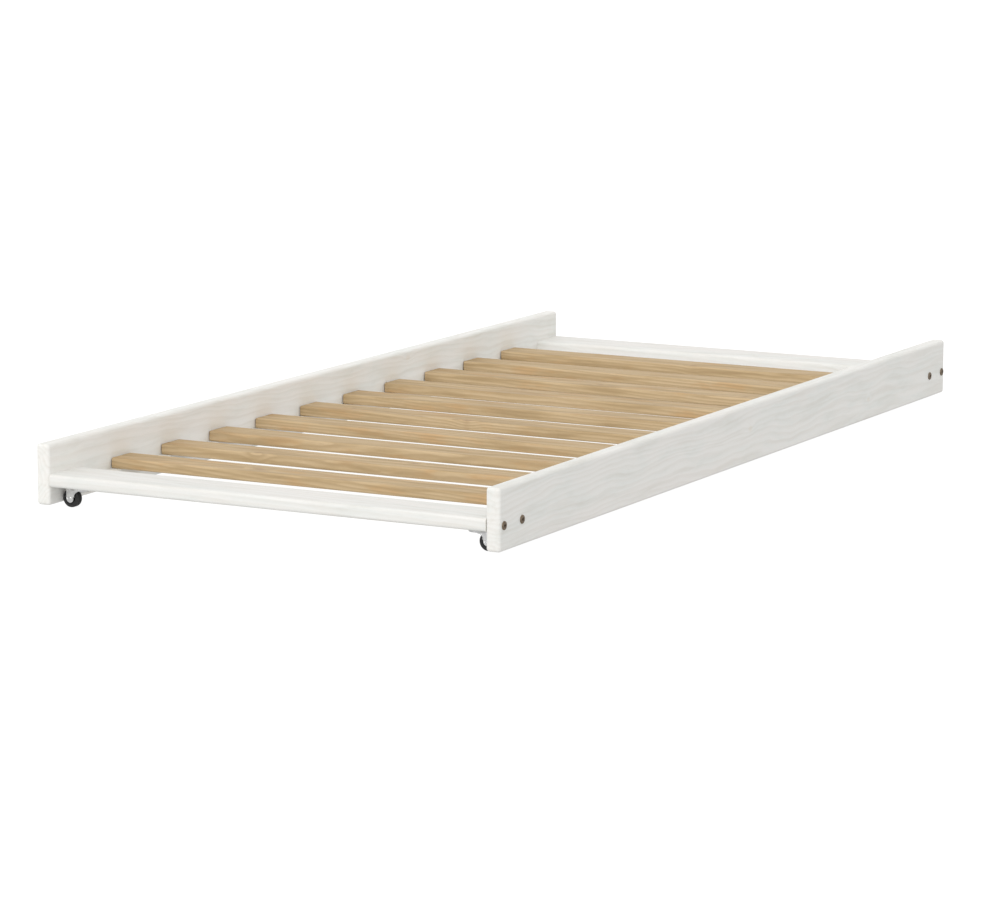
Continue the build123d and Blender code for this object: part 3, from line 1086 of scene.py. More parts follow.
@dataclass(frozen=True)
class WoodScrew:
    """A wood screw: recessed head, plain neck, threaded shank and point.

    Attributes:
        radius: Radius over the thread.
        head_radius: Radius of the head.
        dome: Height of the head above its seat, or 0 for a countersunk head.
        cone: Height of the countersunk cone, or 0 for a domed head.
        length: Length below the head's face (countersunk) or seat (domed).
        recess: The driver's recess.
        thread: The thread.
    """

    radius: float
    head_radius: float
    dome: float
    cone: float
    length: float
    recess: Recess
    thread: Thread
    neck: float = 2.2 * MM
    point: float = 4.0 * MM

    def shell(self) -> Shell:
        """The screw's skin, head up, with its seat or face at the origin.

        The face is a low dome, z = dome (1 - (r / R)^2.4), with the recess taken out. Below
        it the radius follows the rim, the cone or seat, the neck, the thread and the point.

        Returns:
            The skin.
        """
        radii = self.recess.radii(self.head_radius)
        crown = self.dome * 0.66
        face_height = crown * (1 - (radii / self.head_radius) ** 2.4) + (self.dome - crown)
        face = np.stack([radii, face_height, np.zeros(len(radii))], axis=1)
        rim_top = self.dome - crown
        rim = rounded([
            (radii[-1], face_height[-1], 0),
            (self.head_radius, rim_top + 0.02 * MM, 0.25 * MM),
            (self.head_radius, -0.15 * MM * (self.cone > 0), 0.06 * MM),
            (self.radius * 1.02, -self.cone - 0.05 * MM, 0.2 * MM),
            (self.radius * 0.96, -self.cone - self.neck, 0),
        ])[1:]
        top, bottom = -self.cone - self.neck, -self.length + self.point
        shank = self.thread.rows(self.radius, top, bottom)
        tip = rounded([
            (self.radius, bottom, 0),
            (0.45 * self.radius, bottom - 0.7 * self.point, 0.6 * MM),
            (0.0, -self.length, 0),
        ])[1:]
        profile = np.vstack([face, rim, shank, tip])
        swell = self.thread.swell(profile, self.recess.angles(profile[:, 0]), top, bottom)
        return self.recess.sunk(profile, len(radii), swell)


@dataclass(frozen=True)
class ConnectingBolt:
    """A furniture bolt: wide low head, hexagon socket and metric thread."""

    head_radius: float = 8.0 * MM
    head_height: float = 2.2 * MM
    socket_flat: float = 2.0 * MM
    socket_depth: float = 3.2 * MM
    radius: float = 3.0 * MM
    length: float = 70.0 * MM
    threaded: float = 30.0 * MM
    columns: int = 48
    thread: Thread = Thread(1.25 * MM, 0.45 * MM)

    def shell(self) -> Shell:
        """The bolt's skin, head up, with its seat at the origin.

        In the socket the radius at angle t is the flat's distance over the cosine of t
        measured from the nearest flat's middle, which draws a hexagon.

        Returns:
            The skin.
        """
        face = self.head_height
        head = rounded([
            (0.0, face - self.socket_depth, 0),
            (self.socket_flat, face - self.socket_depth, 0.15 * MM),
            (self.socket_flat, face - 0.42 * MM, 0.04 * MM),
            (self.socket_flat + 0.42 * MM, face - 0.04 * MM, 0.1 * MM),
            (0.62 * self.head_radius, face, 0.9 * MM),
            (0.96 * self.head_radius, face - 0.35 * MM, 0.9 * MM),
            (self.head_radius, 0.25 * MM, 0.45 * MM),
            (self.head_radius - 0.3 * MM, 0.0, 0.1 * MM),
            (self.radius + 0.25 * MM, 0.0, 0.1 * MM),
            (self.radius, -0.6 * MM, 0.2 * MM),
            (self.radius, self.threaded - self.length, 0),
        ])
        top, bottom = self.threaded - self.length, 1.0 * MM - self.length
        shank = self.thread.rows(self.radius, top, bottom)
        tip = np.array([(0.72 * self.radius, -self.length, 1.0), (0.0, -self.length, 0.0)])
        profile = np.vstack([head, shank, tip])
        angle = around(self.columns)
        flat_angle = (angle + pi / 6) % (pi / 3) - pi / 6
        hexagon = 1 / np.cos(flat_angle) - 1
        in_socket = 1 - eased(profile[:, :1], self.socket_flat, self.socket_flat + 0.45 * MM)
        in_socket = in_socket * (profile[:, 1:2] > 0.5 * MM - self.socket_depth)
        swell = profile[:, :1] * hexagon * in_socket
        swell = swell + self.thread.swell(profile, angle, top, bottom)
        return turned(profile, self.columns, swell=swell)


@dataclass(frozen=True)
class BarrelNut:
    """A cross-dowel nut with a slot in its lower end, which turns its threaded hole in line."""

    radius: float = 5.0 * MM
    length: float = 15.0 * MM
    slot: Recess = Recess(2, 0.6 * MM, 4.0 * MM, 1.2 * MM, between=13)

    def shell(self) -> Shell:
        """The nut's skin, slotted end up at the origin, closed at its far end."""
        radii = self.slot.radii(self.radius)
        face = np.stack([radii, np.zeros(len(radii)), np.zeros(len(radii))], axis=1)
        wall = rounded([
            (radii[-1], 0.0, 0),
            (self.radius, 0.0, 0.5 * MM),
            (self.radius, -self.length, 0.5 * MM),
            (0.0, -self.length, 0),
        ])[1:]
        return self.slot.sunk(np.vstack([face, wall]), len(radii))


@dataclass(frozen=True)
class FlutedDowel:
    """A glue dowel with grooves along it and a chamfer at each end."""

    radius: float = 4.0 * MM
    length: float = 38.0 * MM
    chamfer: float = 0.8 * MM
    flutes: int = 16
    groove: float = 0.35 * MM

    def shell(self) -> Shell:
        """The dowel's skin along Z from the origin; grooves are a raised cosine round it."""
        profile = rounded([
            (0.0, 0.0, 0),
            (self.radius - self.chamfer, 0.0, 0.1 * MM),
            (self.radius, -self.chamfer, 0.3 * MM),
            (self.radius, self.chamfer - self.length, 0.3 * MM),
            (self.radius - self.chamfer, -self.length, 0.1 * MM),
            (0.0, -self.length, 0),
        ])
        columns = 4 * self.flutes
        angle = around(columns)
        full = profile[:, :1] > self.radius - 0.05 * MM
        swell = -self.groove * 0.5 * (1 - np.cos(self.flutes * angle)) * full
        return turned(profile, columns, swell=swell)


@dataclass(frozen=True)
class BedFastenings:
    """All bolts, nuts, dowels and screws that hold the wooden frame together."""

    bolt_from_end: tuple[float, float] = (15.0 * MM, 81.0 * MM)
    dowel_in_panel: float = 12.0 * MM
    barrel_inset: float = 32.0 * MM
    ledger_screw_rows: tuple[float, ...] = (-845.0, -680.0, -340.0, 0.0, 340.0, 680.0, 845.0)
    bolt: ConnectingBolt = ConnectingBolt()
    nut: BarrelNut = BarrelNut()
    dowel: FlutedDowel = FlutedDowel()
    ledger_screw_length: float = 40.0 * MM
    slat_screw_length: float = 38.0 * MM
    cone_angle: float = 41.0
    cross: Recess = Recess(4, 0.45 * MM, 2.1 * MM, 1.5 * MM)
    thread: Thread = Thread(2.0 * MM, 0.5 * MM)

    def build(self, shop: Workshop) -> None:
        """Makes every fastening of the wooden frame."""
        self._bolts_and_nuts(shop)
        self._dowels(shop)
        self._ledger_screws(shop)
        self._slat_screws(shop)

    def _countersunk(self, length: float) -> WoodScrew:
        """A countersunk screw of a given length, whose cone falls from the head to the shank."""
        radius, head_radius = 1.9 * MM, 3.6 * MM
        cone = (head_radius - radius) / tan(radians(self.cone_angle))
        return WoodScrew(radius, head_radius, 0.0, cone, length, self.cross, self.thread)

    def _bolts_and_nuts(self, shop: Workshop) -> None:
        """Bolts through the side boards, and the nuts that they screw into."""
        rail_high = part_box("foot_end_rail")[1]
        panel_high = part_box("right_side_panel")[1]
        height = centre_of("foot_end_rail")[2]
        rows = [end.value * (panel_high.y - gap) for end in End for gap in self.bolt_from_end]
        seats = [(side, row) for side in Side for row in rows]
        heads = np.array([(side.value * panel_high.x, row, height) for side, row in seats])
        turns = np.array([side.outward for side, _ in seats])
        shop.piece("connecting_bolts", self.bolt.shell().placed(heads, turns),
                   Slot.ANTIQUE_BRONZE, "frame", "frame_bolts")
        nut_x = rail_high.x - self.barrel_inset
        nut_z = height - self.nut.length / 2
        nuts = np.array([(side.value * nut_x, row, nut_z) for side, row in seats])
        shop.piece("cross_dowel_nuts", self.nut.shell().placed(nuts, AXIS_TURNS["down"]),
                   Slot.ZINC_STEEL, "frame", "barrel_nuts")

    def _dowels(self, shop: Workshop) -> None:
        """Glue dowels between the end rails and the side boards."""
        tip_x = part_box("head_end_rail")[1].x + self.dowel_in_panel
        _, middle_y, middle_z = centre_of("head_end_rail")
        seats = [(side, end) for side in Side for end in End]
        tips = np.array([
            (side.value * tip_x, end.value * middle_y, middle_z) for side, end in seats])
        turns = np.array([side.outward for side, _ in seats])
        shop.piece("glue_dowels", self.dowel.shell().placed(tips, turns),
                   Slot.BEECH_DOWEL, "frame", "rail_dowels")

    def _ledger_screws(self, shop: Workshop) -> None:
        """Screws through the ledgers into the side boards."""
        inner_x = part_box("right_slat_ledger")[0].x
        middle_z = centre_of("right_slat_ledger")[2]
        seats = [(side, row * MM) for side in Side for row in self.ledger_screw_rows]
        heads = np.array([(side.value * inner_x, row, middle_z) for side, row in seats])
        turns = np.array([side.inward for side, _ in seats])
        screw = self._countersunk(self.ledger_screw_length)
        shop.piece("ledger_wood_screws", screw.shell().placed(heads, turns),
                   Slot.ZINC_STEEL, "frame", "ledger_screws")

    def _slat_screws(self, shop: Workshop) -> None:
        """Screws up through the ledgers into the slats."""
        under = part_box("right_slat_ledger")[0].z
        middle_x = centre_of("right_slat_ledger")[0]
        rows = [centre_of(slat)[1] for slat in slat_nodes()]
        heads = np.array([(side.value * middle_x, row, under) for side in Side for row in rows])
        screw = self._countersunk(self.slat_screw_length)
        shop.piece("slat_wood_screws", screw.shell().placed(heads, AXIS_TURNS["down"]),
                   Slot.ZINC_STEEL, "frame", "slat_screws")


# ------------------------------------------------------------------ casters
@dataclass(frozen=True)
class PressedPlate:
    """The caster's top plate: a pressed square with a dish, a bead and four screw dimples."""

    half: float = 21.0 * MM
    thickness: float = 2.0 * MM
    dish_radius: float = 9.6 * MM
    dish_drop: float = 1.8 * MM
    hole_spacing: float = 31.0 * MM
    squareness: float = 7.0
    bead_depth: float = 0.35 * MM
    bead_inset: float = 2.6 * MM
    edge_width: float = 0.8 * MM
    dimple_lift: float = 0.25 * MM
    dimple_radius: float = 4.0 * MM
    columns: int = 96

    def shell(self) -> Shell:
        """The plate's skin, centred, with the plate's flat underside at height 0.

        Point (s, t) lies at share s of the way from the centre to the outline at angle t. The
        outline is a square with round corners. Height falls by the dish's drop inside the
        dish, by a bead near the outline, and lifts slightly round each screw.

        Returns:
            The skin.
        """
        angle = around(self.columns)
        share = np.concatenate([np.linspace(0.12, 0.52, 16), np.linspace(0.56, 1.0, 20)])[:, None]
        power = self.squareness
        reach = (np.abs(np.cos(angle)) ** power + np.abs(np.sin(angle)) ** power) ** (-1 / power)
        radius = share * self.half * (1 + eased(share, 0.3, 0.75) * (reach - 1))
        x, y = radius * np.cos(angle), radius * np.sin(angle)
        inset = (1 - share) * self.half
        dish = -self.dish_drop * (1 - eased(radius, self.dish_radius, self.dish_radius + 2.0 * MM))
        bead = -self.bead_depth * bell(inset, self.bead_inset, self.edge_width)
        hole = self.hole_spacing / 2
        to_hole = np.hypot(np.abs(x) - hole, np.abs(y) - hole)
        near_hole = 1 - eased(to_hole, self.dimple_radius, 1.3 * self.dimple_radius)
        height = dish + bead + self.dimple_lift * near_hole
        dish_wear = 0.6 * bell(radius, self.dish_radius + 1 * MM, 1 * MM)
        wear = np.maximum(bell(inset, 0.0, self.edge_width), dish_wear)
        lower_face = np.stack([x, y, height], axis=-1)
        return pressed(lower_face, wear, self.thickness - 0.05 * MM, round_columns=True)


@dataclass(frozen=True)
class PressedFork:
    """The fork: a round crown with a skirt, and a folded bridge whose legs sweep to the axle."""

    top: float = 37.2 * MM
    sheet: float = 1.6 * MM
    half_width: float = 9.1 * MM
    bend: float = 2.4 * MM
    crown_radius: float = 19.0 * MM
    skirt: float = 3.6 * MM
    pin_hole: float = 3.05 * MM
    axle_out: float = 20.0 * MM
    axle_height: float = 17.0 * MM
    tip_radius: float = 7.5 * MM
    sweep_radius: float = 15.0 * MM
    lip: float = 10.0 * MM
    rib: float = 0.7 * MM
    rib_from_edge: float = 2.9 * MM
    ball_circle: float = 15.0 * MM
    track_half: float = 1.6 * MM
    track_depth: float = 0.35 * MM
    columns: int = 72

    def crown(self) -> Shell:
        """The crown's skin: a flat disc with a sunk ball track and a turned-down skirt."""
        track_in, track_out = self.ball_circle - self.track_half, self.ball_circle + self.track_half
        floor = self.top - self.track_depth
        profile = rounded([
            (self.pin_hole, self.top, 0),
            (track_in - 0.8 * MM, self.top, 0.6 * MM),
            (track_in, floor, 0.5 * MM),
            (track_out, floor, 0.5 * MM),
            (track_out + 0.6 * MM, self.top, 0.4 * MM),
            (self.crown_radius, self.top, 1.5 * MM),
            (self.crown_radius, self.top - self.skirt, 0),
        ])
        face = turned(profile, self.columns).points.reshape(len(profile), self.columns, 3)
        return pressed(face, profile[:, 2:3], self.sheet, True)

    def stations(self) -> tuple[np.ndarray, np.ndarray]:
        """Places along the bridge and the legs' lowest point at each.

        From the lip the edge runs level, then down a quarter circle of the sweep's radius
        that bends inwards, and round the half circle of the tip below the axle.

        Returns:
            Distance from the swivel axis towards the board, and height of the lower edge.
        """
        tip_in = self.axle_out - self.tip_radius
        centre = tip_in - self.sweep_radius
        level = np.linspace(-self.lip, centre, 4, endpoint=False)
        turn = np.linspace(0, pi / 2, 14, endpoint=False)
        tip = np.linspace(0, pi, 19)
        out = np.concatenate([
            level,
            centre + self.sweep_radius * np.sin(turn),
            self.axle_out - self.tip_radius * np.cos(tip),
        ])
        low = np.concatenate([
            np.full(len(level), self.axle_height + self.sweep_radius),
            self.axle_height + self.sweep_radius * np.cos(turn),
            self.axle_height - self.tip_radius * np.sin(tip),
        ])
        return out, low

    def bridge(self) -> Shell:
        """The folded bridge's skin.

        Across each station the section runs up one leg, round the bend, over the top and down
        the other leg. The rows of a leg share its height between the bend and the lower edge,
        and a rib stands out along a line that follows the leg's swept edge.

        Returns:
            The skin.
        """
        out, low = (values[:, None] for values in self.stations())
        start = self.top - self.bend
        leg_z = low + np.linspace(0, 1, 15) * (start - low)
        offset = leg_z - low
        taper = eased(start - low, 4 * MM, 12 * MM)
        ridge = bell(offset, self.rib_from_edge, 0.8 * MM) * taper
        turn = np.linspace(0, pi / 2, 6)[1:-1]
        over = np.linspace(1, 0, 5) * (self.half_width - self.bend)
        level = np.zeros_like(out)
        bend_y = level + self.half_width - self.bend * (1 - np.cos(turn))
        bend_z = level + start + self.bend * np.sin(turn)
        half_y = np.hstack([self.half_width + self.rib * ridge, bend_y, level + over])
        half_z = np.hstack([leg_z, bend_z, level + np.full(len(over), self.top)])
        leg_wear = np.maximum(bell(offset, 0.0, 0.5 * MM), ridge)
        half_wear = np.hstack([leg_wear, level + np.full(len(turn), 0.7), level + np.zeros(len(over))])
        y = np.hstack([half_y, -half_y[:, -2::-1]])
        z = np.hstack([half_z, half_z[:, -2::-1]])
        x = np.broadcast_to(out, y.shape)
        wear = np.hstack([half_wear, half_wear[:, -2::-1]])
        return pressed(np.stack([x, y, z], axis=-1), wear, self.sheet, round_columns=False)


@dataclass(frozen=True)
class CasterWheel:
    """The wheel: a moulded centre with spokes, and a tyre with grooves and a raised ring on each side.
    """

    radius: float = 17.0 * MM
    half_width: float = 6.5 * MM
    tyre_inner: float = 11.2 * MM
    rim_inner: float = 9.0 * MM
    ring_start: float = 1.7 * MM
    ring_width: float = 1.2 * MM
    ring_height: float = 0.22 * MM
    shoulder: float = 1.9 * MM
    groove_depth: float = 0.45 * MM
    groove_spacing: float = 3.0 * MM
    hub_radius: float = 5.0 * MM
    hub_half: float = 7.1 * MM
    bore: float = 2.55 * MM
    web_half: float = 3.6 * MM
    web_in: float = 5.7 * MM
    web_mid: float = 6.6 * MM
    web_out: float = 7.4 * MM
    pocket_share: float = 0.62
    spokes: int = 6

    def tyre(self) -> Shell:
        """The tyre's skin about Z: round shoulders, three grooves and a raised sidewall ring."""
        half, outer = self.half_width, self.radius
        ring_in = self.tyre_inner + self.ring_start
        ring_out = ring_in + self.ring_width
        ring_top = half + self.ring_height
        side = [
            (self.tyre_inner, -half, 0.2 * MM),
            (ring_in, -half, 0.2 * MM),
            (ring_in + 0.3 * MM, -ring_top, 0.15 * MM),
            (ring_out - 0.3 * MM, -ring_top, 0.15 * MM),
            (ring_out, -half, 0.2 * MM),
            (outer - 0.05 * MM, -half, self.shoulder),
        ]
        tread: list[Corner] = []
        for place in (-self.groove_spacing, 0.0, self.groove_spacing):
            tread += [
                (outer, place - 0.55 * MM, 0.12 * MM),
                (outer - self.groove_depth, place - 0.35 * MM, 0.1 * MM),
                (outer - self.groove_depth, place + 0.35 * MM, 0.1 * MM),
                (outer, place + 0.55 * MM, 0.12 * MM),
            ]
        return turned(rounded(side + tread + mirrored(side), steps=3), 80, closed=True)

    def centre(self) -> Shell:
        """The wheel centre's skin about Z.

        The profile runs over hub, web and rim on one side and back on the other. Between
        spokes the web's height falls towards the wheel's middle: by a raised cosine of the
        angle, sharpened, times a bump across the web's width.

        Returns:
            The skin.
        """
        rim_half = self.half_width - 0.5 * MM
        web = self.web_half
        front = [
            (self.bore, self.hub_half, 0.3 * MM),
            (self.hub_radius - 0.7 * MM, self.hub_half, 0.3 * MM),
            (self.hub_radius - 0.2 * MM, web, 0.5 * MM),
            (self.web_in, web, 0.1 * MM),
            (self.web_mid, web, 0.1 * MM),
            (self.web_out, web, 0.1 * MM),
            (self.rim_inner, web, 0.4 * MM),
            (self.rim_inner + 0.25 * MM, rim_half, 0.3 * MM),
            (self.tyre_inner, rim_half, 0.3 * MM),
        ]
        profile = rounded(front + mirrored(front), steps=3)
        radius, level = profile[:, :1], profile[:, 1:2]
        columns = 12 * self.spokes
        pocket = eased(0.5 - 0.5 * np.cos(self.spokes * around(columns)), 0.25, 0.6)
        on_web = np.abs(np.abs(level) - web) < 0.3 * MM
        inside = eased(radius, self.web_in - 0.4 * MM, self.web_in)
        inside = inside * (1 - eased(radius, self.web_out, self.web_out + 0.4 * MM))
        points = turned(profile, columns, closed=True).points.reshape(len(profile), columns, 3)
        points[..., 2] = level * (1 - self.pocket_share * pocket * inside * on_web)
        return Shell.grid(points, profile[:, 2:3], round_rows=True)


@dataclass(frozen=True)
class AxleRivet:
    """The axle: a shank between a formed head and a spun one, each outside a fork leg."""

    shank: float = 2.5 * MM
    head: float = 4.2 * MM
    head_height: float = 1.2 * MM

    def shell(self, half_length: float) -> Shell:
        """The rivet's skin about Z, for legs whose outer faces stand this far out."""
        reach = half_length + self.head_height
        profile = rounded([
            (0.0, -reach + 0.25 * MM, 0),
            (1.1 * MM, -reach + 0.2 * MM, 0.3 * MM),
            (1.9 * MM, -reach, 0.4 * MM),
            (self.head - 0.5 * MM, -reach + 0.25 * MM, 0.5 * MM),
            (self.head, -half_length - 0.25 * MM, 0.2 * MM),
            (self.head, -half_length, 0.05 * MM),
            (self.shank, -half_length, 0.05 * MM),
            (self.shank, half_length, 0.05 * MM),
            (self.head, half_length, 0.05 * MM),
            (self.head, half_length + 0.3 * MM, 0.2 * MM),
            (self.head - 0.9 * MM, reach - 0.1 * MM, 0.8 * MM),
            (0.0, reach, 0),
        ])
        return turned(profile, 40)


@dataclass(frozen=True)
class KingPin:
    """The pin that the fork turns on, by heights above and below the crown's top.

    Attributes:
        shank: Radius of the shank.
        head: Radius of the head, which lies in the plate's dish.
        head_top: Height of the head's top.
        head_seat: Height of its underside.
        cup: Radius of the cup under the crown.
        cup_top: Depth of the cup's rim.
        rivet: Radius of the spun rivet below the cup.
        rivet_top: Depth where the rivet starts.
        rivet_end: Depth of its lower end.
    """

    shank: float = 3.0 * MM
    head: float = 5.5 * MM
    head_top: float = 4.4 * MM
    head_seat: float = 3.0 * MM
    cup: float = 7.0 * MM
    cup_top: float = 2.0 * MM
    rivet: float = 4.6 * MM
    rivet_top: float = 5.6 * MM
    rivet_end: float = 8.6 * MM

    def shell(self, crown: float) -> Shell:
        """The pin's skin about Z, for a crown whose top lies at a height."""
        top, seat = crown + self.head_top, crown + self.head_seat
        cup, end = crown - self.cup_top, crown - self.rivet_end
        profile = rounded([
            (0.0, top, 0),
            (self.head - 1.0 * MM, top, 0.8 * MM),
            (self.head, seat, 0.1 * MM),
            (self.shank, seat, 0.1 * MM),
            (self.shank, cup, 0.1 * MM),
            (self.cup - 0.8 * MM, cup, 0.2 * MM),
            (self.cup, cup - 0.3 * MM, 0.2 * MM),
            (self.cup - 0.9 * MM, cup - 2.0 * MM, 0.6 * MM),
            (self.rivet, crown - self.rivet_top, 0.5 * MM),
            (self.rivet, end + 1.3 * MM, 0.3 * MM),
            (self.rivet - 1.0 * MM, end, 0.4 * MM),
            (1.8 * MM, end, 0.3 * MM),
            (1.2 * MM, end + 0.6 * MM, 0.3 * MM),
            (0.0, end + 0.8 * MM, 0),
        ])
        return turned(profile, 48)


@dataclass(frozen=True)
class Caster:
    """One swivel caster of the bed, made for the corner that it stands in."""

    end: End
    side: Side
    plate: PressedPlate = PressedPlate()
    fork: PressedFork = PressedFork()
    wheel: CasterWheel = CasterWheel()
    axle: AxleRivet = AxleRivet()
    pin: KingPin = KingPin()

    def node(self, part: str) -> str:
        """Name of a part of this corner's caster."""
        return f"{self.end.name}_{self.side.name}_{part}".lower()

    @property
    def seat(self) -> Corner:
        """Middle of the plate's underside."""
        x, y, _ = centre_of(self.node("caster_plate"))
        return x, y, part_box(self.node("caster_plate"))[1].z - self.plate.thickness

    def build(self, shop: Workshop) -> None:
        """Makes the plate, pin, fork, axle, wheel centre and tyre, swept to the nearer board."""
        x, y, _ = self.seat
        hub_x, _, hub_z = centre_of(self.node("tyre"))
        swivel, rolling = self.node("swivel"), self.node("wheel")
        turn = AXIS_TURNS["up"] if self.side is Side.RIGHT else np.diag([-1.0, -1.0, 1.0])
        lying = turn @ AXIS_TURNS["along"]
        foot, hub = (x, y, 0.0), (hub_x, y, hub_z)
        fork = self.fork.bridge().joined(self.fork.crown())
        steel, plastic, rubber = Slot.ZINC_STEEL, Slot.BLACK_PLASTIC, Slot.BLACK_RUBBER
        axle = self.axle.shell(self.fork.half_width)
        parts = (
            ("mounting_plate", self.plate.shell(), self.seat, turn, steel, "frame", "caster_plate"),
            ("swivel_rivet", self.pin.shell(self.fork.top), foot, turn, steel, "frame", "king_pin"),
            ("pressed_fork", fork, foot, turn, steel, swivel, "fork"),
            ("axle_rivet", axle, hub, lying, steel, swivel, "axle"),
            ("wheel_centre", self.wheel.centre(), hub, lying, plastic, rolling, "wheel_core"),
            ("rubber_tyre", self.wheel.tyre(), hub, lying, rubber, rolling, "tyre"),
        )
        for name, shell, place, way, slot, body, node in parts:
            placed = shell.placed(np.array([place]), way)
            shop.piece(self.node(name), placed, slot, body, self.node(node))


@dataclass(frozen=True)
class CasterSet:
    """The four casters and the screws that hold their plates."""

    screw: WoodScrew = WoodScrew(
        1.9 * MM, 3.9 * MM, 2.3 * MM, 0.0, 17.0 * MM, Recess(4, 0.45 * MM, 2.1 * MM, 1.3 * MM),
        Thread(1.7 * MM, 0.5 * MM), neck=1.2 * MM)

    def build(self, shop: Workshop) -> None:
        """Makes the casters, then one group of all their screws."""
        heads: list[Corner] = []
        for caster in [Caster(end, side) for end in End for side in Side]:
            caster.build(shop)
            x, y, z = caster.seat
            offset = caster.plate.hole_spacing / 2
            heads += [(x + dx, y + dy, z) for dx in (-offset, offset) for dy in (-offset, offset)]
        screws = self.screw.shell().placed(np.array(heads), AXIS_TURNS["down"])
        shop.piece("caster_fixing_screws", screws, Slot.ZINC_STEEL, "frame", "caster_screws")


# ------------------------------------------------------------------ boards
@dataclass(frozen=True)
class Woodwork:
    """The bed's boards, rails, ledgers and slats, which keep the frame's shapes."""

    bare: NaturalPine = NaturalPine()
    # Each washed board with a scale of its wash that is painted light: the left side panel's wash is
    # made paler and the end rails' darker to stand in for how brightly their seen faces are lit.
    washed_boards_painted_brightness: tuple[tuple[str, float], ...] = (
        ("left_side_panel", 1.04),
        ("right_side_panel", 1.00),
        ("foot_end_rail", 0.965),
        ("head_end_rail", 0.965),
        ("left_slat_ledger", 1.00),
        ("right_slat_ledger", 1.00),
    )

    def build(self) -> None:
        """Gives every board its own piece of a log."""
        # Each washed board gets a lighter or darker copy of the same wash as painted light.
        for number, (name, painted_brightness) in enumerate(self.washed_boards_painted_brightness, start=40):
            self._dress(name, WhitewashedPine(painted_brightness=painted_brightness), number, knots=2)
        for number, name in enumerate(slat_nodes(), start=1):
            self._dress(name, self.bare, number, knots=number % 3)

    @staticmethod
    def _dress(node: str, finish: NaturalPine | WhitewashedPine, number: int, knots: int) -> None:
        """Dresses one board of the frame.

        Args:
            node: The board's node.
            finish: Its finish.
            number: The board's own number, from which its log is drawn.
            knots: How many knots it has.
        """
        low, high = (np.array(corner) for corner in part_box(node))
        half = np.sort((high - low) / 2)
        log_ = Log.sawn(number, float(half[2]), float(half[1]), knots)
        lay_on(node, finish.dress(f"{node}_finish", low, high, log_))


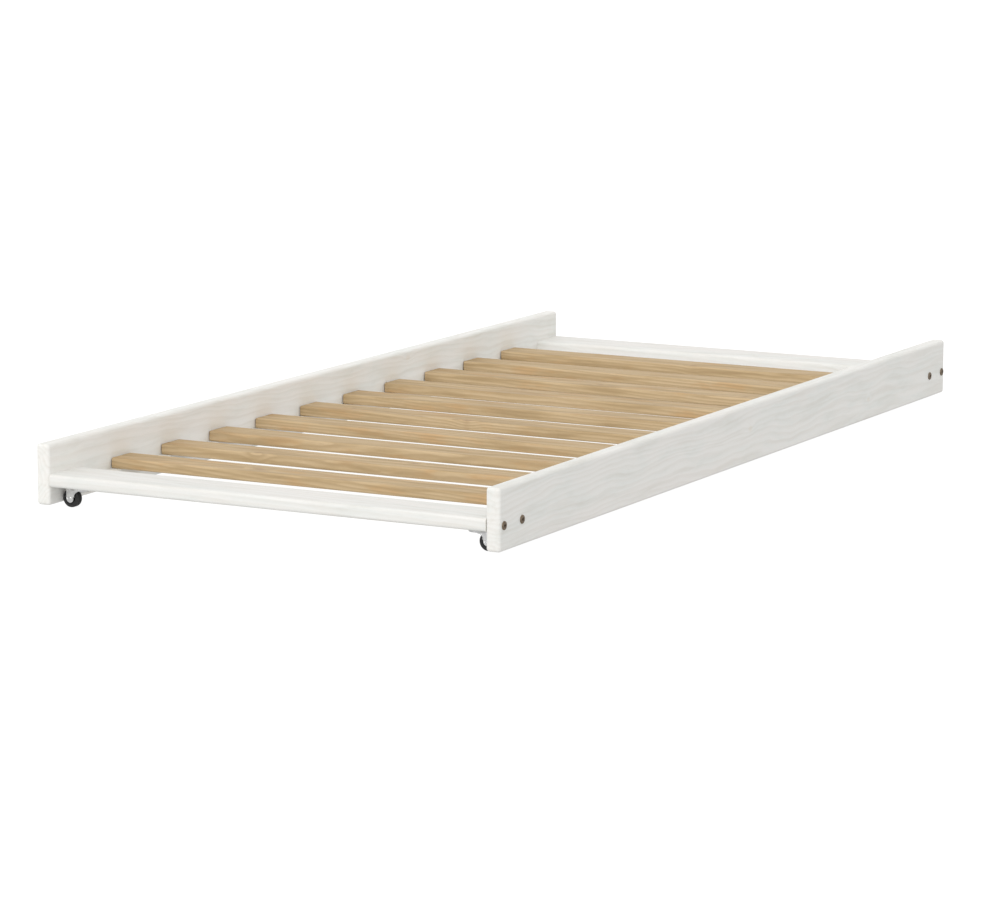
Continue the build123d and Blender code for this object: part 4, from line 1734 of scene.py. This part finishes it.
# ------------------------------------------------------------------ studio
@dataclass(frozen=True)
class Studio:
    """Pale floor, soft light and the camera.

    Attributes:
        azimuth: Camera's place round the bed in degrees; 0 looks along the bed from its foot.
        elevation: Camera's height above the horizon in degrees.
        distance: Camera's distance from the point that it looks at.
        aim: That point, from the middle of the bed on the floor.
        lens: Focal length in millimetres.
        roll: Camera's turn about its own axis in degrees.
        sensor: Width of its sensor in millimetres.
        floor_half: Half the floor's side.
        floor_glow: Strength of the floor's own light.
        floor_tone: Colour of the floor.
        horizon_start: Height of a direction from which the surround grows to full light.
        light_from_below: Share of the light that comes from below.
        light_overhead: Share of the light that comes from right above.
        sun_strength: Strength of the lamp.
        sun_from: Where the lamp stands.
        sun_softness: The lamp's width in degrees.
    """

    azimuth: float = 28.2534
    elevation: float = 9.8386
    distance: float = 8.1785
    aim: tuple[float, float, float] = (-0.0397, -0.0345, -0.0022)
    lens: float = 149.0
    roll: float = 0.0227
    sensor: float = 36.0
    floor_half: float = 60.0
    floor_glow: float = 0.90
    floor_tone: Colour = (0.24, 0.24, 0.24)
    horizon_start: float = -0.12
    light_from_below: float = 0.66
    light_overhead: float = 0.88
    sun_strength: float = 1.00
    sun_from: tuple[float, float, float] = (-0.05, -0.90, 0.42)
    sun_softness: float = 40.0

    def build(self) -> None:
        """Sets up floor, light, colour and camera."""
        self._floor()
        self._light()
        self._camera()

    def _floor(self) -> None:
        """A flat floor that glows a little, so that only contact shadows stay."""
        side = np.linspace(-self.floor_half, self.floor_half, 9)
        x, y = np.meshgrid(side, side)
        surface = np.stack([x, y, np.zeros_like(x)], axis=-1)
        shell = Shell.grid(surface, round_columns=False)
        mesh = bpy.data.meshes.new("studio_floor")
        mesh.from_pydata(shell.points.tolist(), [], shell.quads.tolist())
        graph = Graph.of_material("studio_floor_finish")
        point = graph.vector(*graph.place())
        shade = graph.noise(point, Layer(3.0, 2.0))
        tone = graph.mix(shade, self.floor_tone, tuple(1.04 * part for part in self.floor_tone))
        glow = {"Emission Color": (1.0, 1.0, 1.0), "Emission Strength": self.floor_glow,
                "Specular IOR Level": 0.0}
        mesh.materials.append(graph.finish(tone, 0.9 + shade * 0.05, shade, 0.1 * MM, glow))
        floor = bpy.data.objects.new("studio_floor", mesh)
        floor.visible_diffuse = False
        floor.visible_glossy = False
        bpy.context.scene.collection.objects.link(floor)

    def _light(self) -> None:
        """An even white surround and one very soft lamp from the foot of the bed."""
        world = bpy.data.worlds.new("white_surround")
        graph = Graph(world)
        height = graph.place("Generated")[2]
        from_below = graph.add(
            "ShaderNodeMapRange", {"interpolation_type": "SMOOTHSTEP"},
            {"Value": height, "From Min": self.horizon_start, "From Max": 0.0,
             "To Min": self.light_from_below, "To Max": 1.0})
        overhead = graph.add(
            "ShaderNodeMapRange", None,
            {"Value": height, "To Min": 1.0, "To Max": self.light_overhead})
        surround = {"Color": (1.0, 1.0, 1.0), "Strength": from_below * overhead}
        graph.end(graph.add("ShaderNodeBackground", None, surround), "ShaderNodeOutputWorld")
        bpy.context.scene.world = world
        lamp = bpy.data.lights.new("soft_lamp", "SUN")
        lamp.energy = self.sun_strength
        lamp.angle = radians(self.sun_softness)
        thing = bpy.data.objects.new("soft_lamp", lamp)
        thing.rotation_euler = Vector(self.sun_from).to_track_quat("Z", "Y").to_euler()
        bpy.context.scene.collection.objects.link(thing)
        view = bpy.context.scene.view_settings
        view.view_transform = "Standard"
        view.look = "None"

    def _camera(self) -> None:
        """The camera, looking down at the bed from beyond its foot."""
        turn, lift = radians(self.azimuth), radians(self.elevation)
        back = Vector((sin(turn) * cos(lift), -cos(turn) * cos(lift), sin(lift)))
        data = bpy.data.cameras.new("bed_camera")
        data.lens = self.lens
        data.sensor_width = self.sensor
        data.clip_end = 400.0
        camera = bpy.data.objects.new("bed_camera", data)
        camera.location = Vector(self.aim) + back * self.distance
        turned_camera = back.to_track_quat("Z", "Y") @ Quaternion((0, 0, 1), radians(self.roll))
        camera.rotation_euler = turned_camera.to_euler()
        bpy.context.scene.collection.objects.link(camera)
        bpy.context.scene.camera = camera


# ------------------------------------------------------------------ the bed
FINISHES: tuple[MetalFinish | MouldedFinish | BeechFinish, ...] = (
    MetalFinish(Slot.ANTIQUE_BRONZE, (0.150, 0.112, 0.078), (0.090, 0.068, 0.050),
                (0.420, 0.330, 0.230), 0.34),
    MetalFinish(Slot.ZINC_STEEL, (0.740, 0.740, 0.735), (0.600, 0.600, 0.600),
                (0.860, 0.860, 0.855), 0.34),
    MetalFinish(Slot.POLISHED_BALLS, (0.660, 0.660, 0.665), (0.520, 0.500, 0.460),
                (0.800, 0.800, 0.800), 0.14),
    MouldedFinish(Slot.BLACK_PLASTIC, (0.014, 0.014, 0.015), (0.060, 0.060, 0.062),
                  (0.045, 0.044, 0.042), 0.38, 0.03 * MM),
    MouldedFinish(Slot.BLACK_RUBBER, (0.011, 0.011, 0.012), (0.055, 0.054, 0.052),
                  (0.050, 0.048, 0.046), 0.62, 0.06 * MM),
    BeechFinish(),
)


def main() -> None:
    """Builds the studio, the woodwork, the fastenings and the casters."""
    logging.basicConfig(level=logging.INFO, format="%(name)s %(message)s")
    Studio().build()
    Woodwork().build()
    shop = Workshop({finish.slot: finish.dress() for finish in FINISHES})
    for name in sorted(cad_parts):
        if name.endswith("_swivel_balls"):
            lay_on(name, shop.materials[Slot.POLISHED_BALLS])
    BedFastenings().build(shop)
    CasterSet().build(shop)


if __name__ == "__main__":
    main()
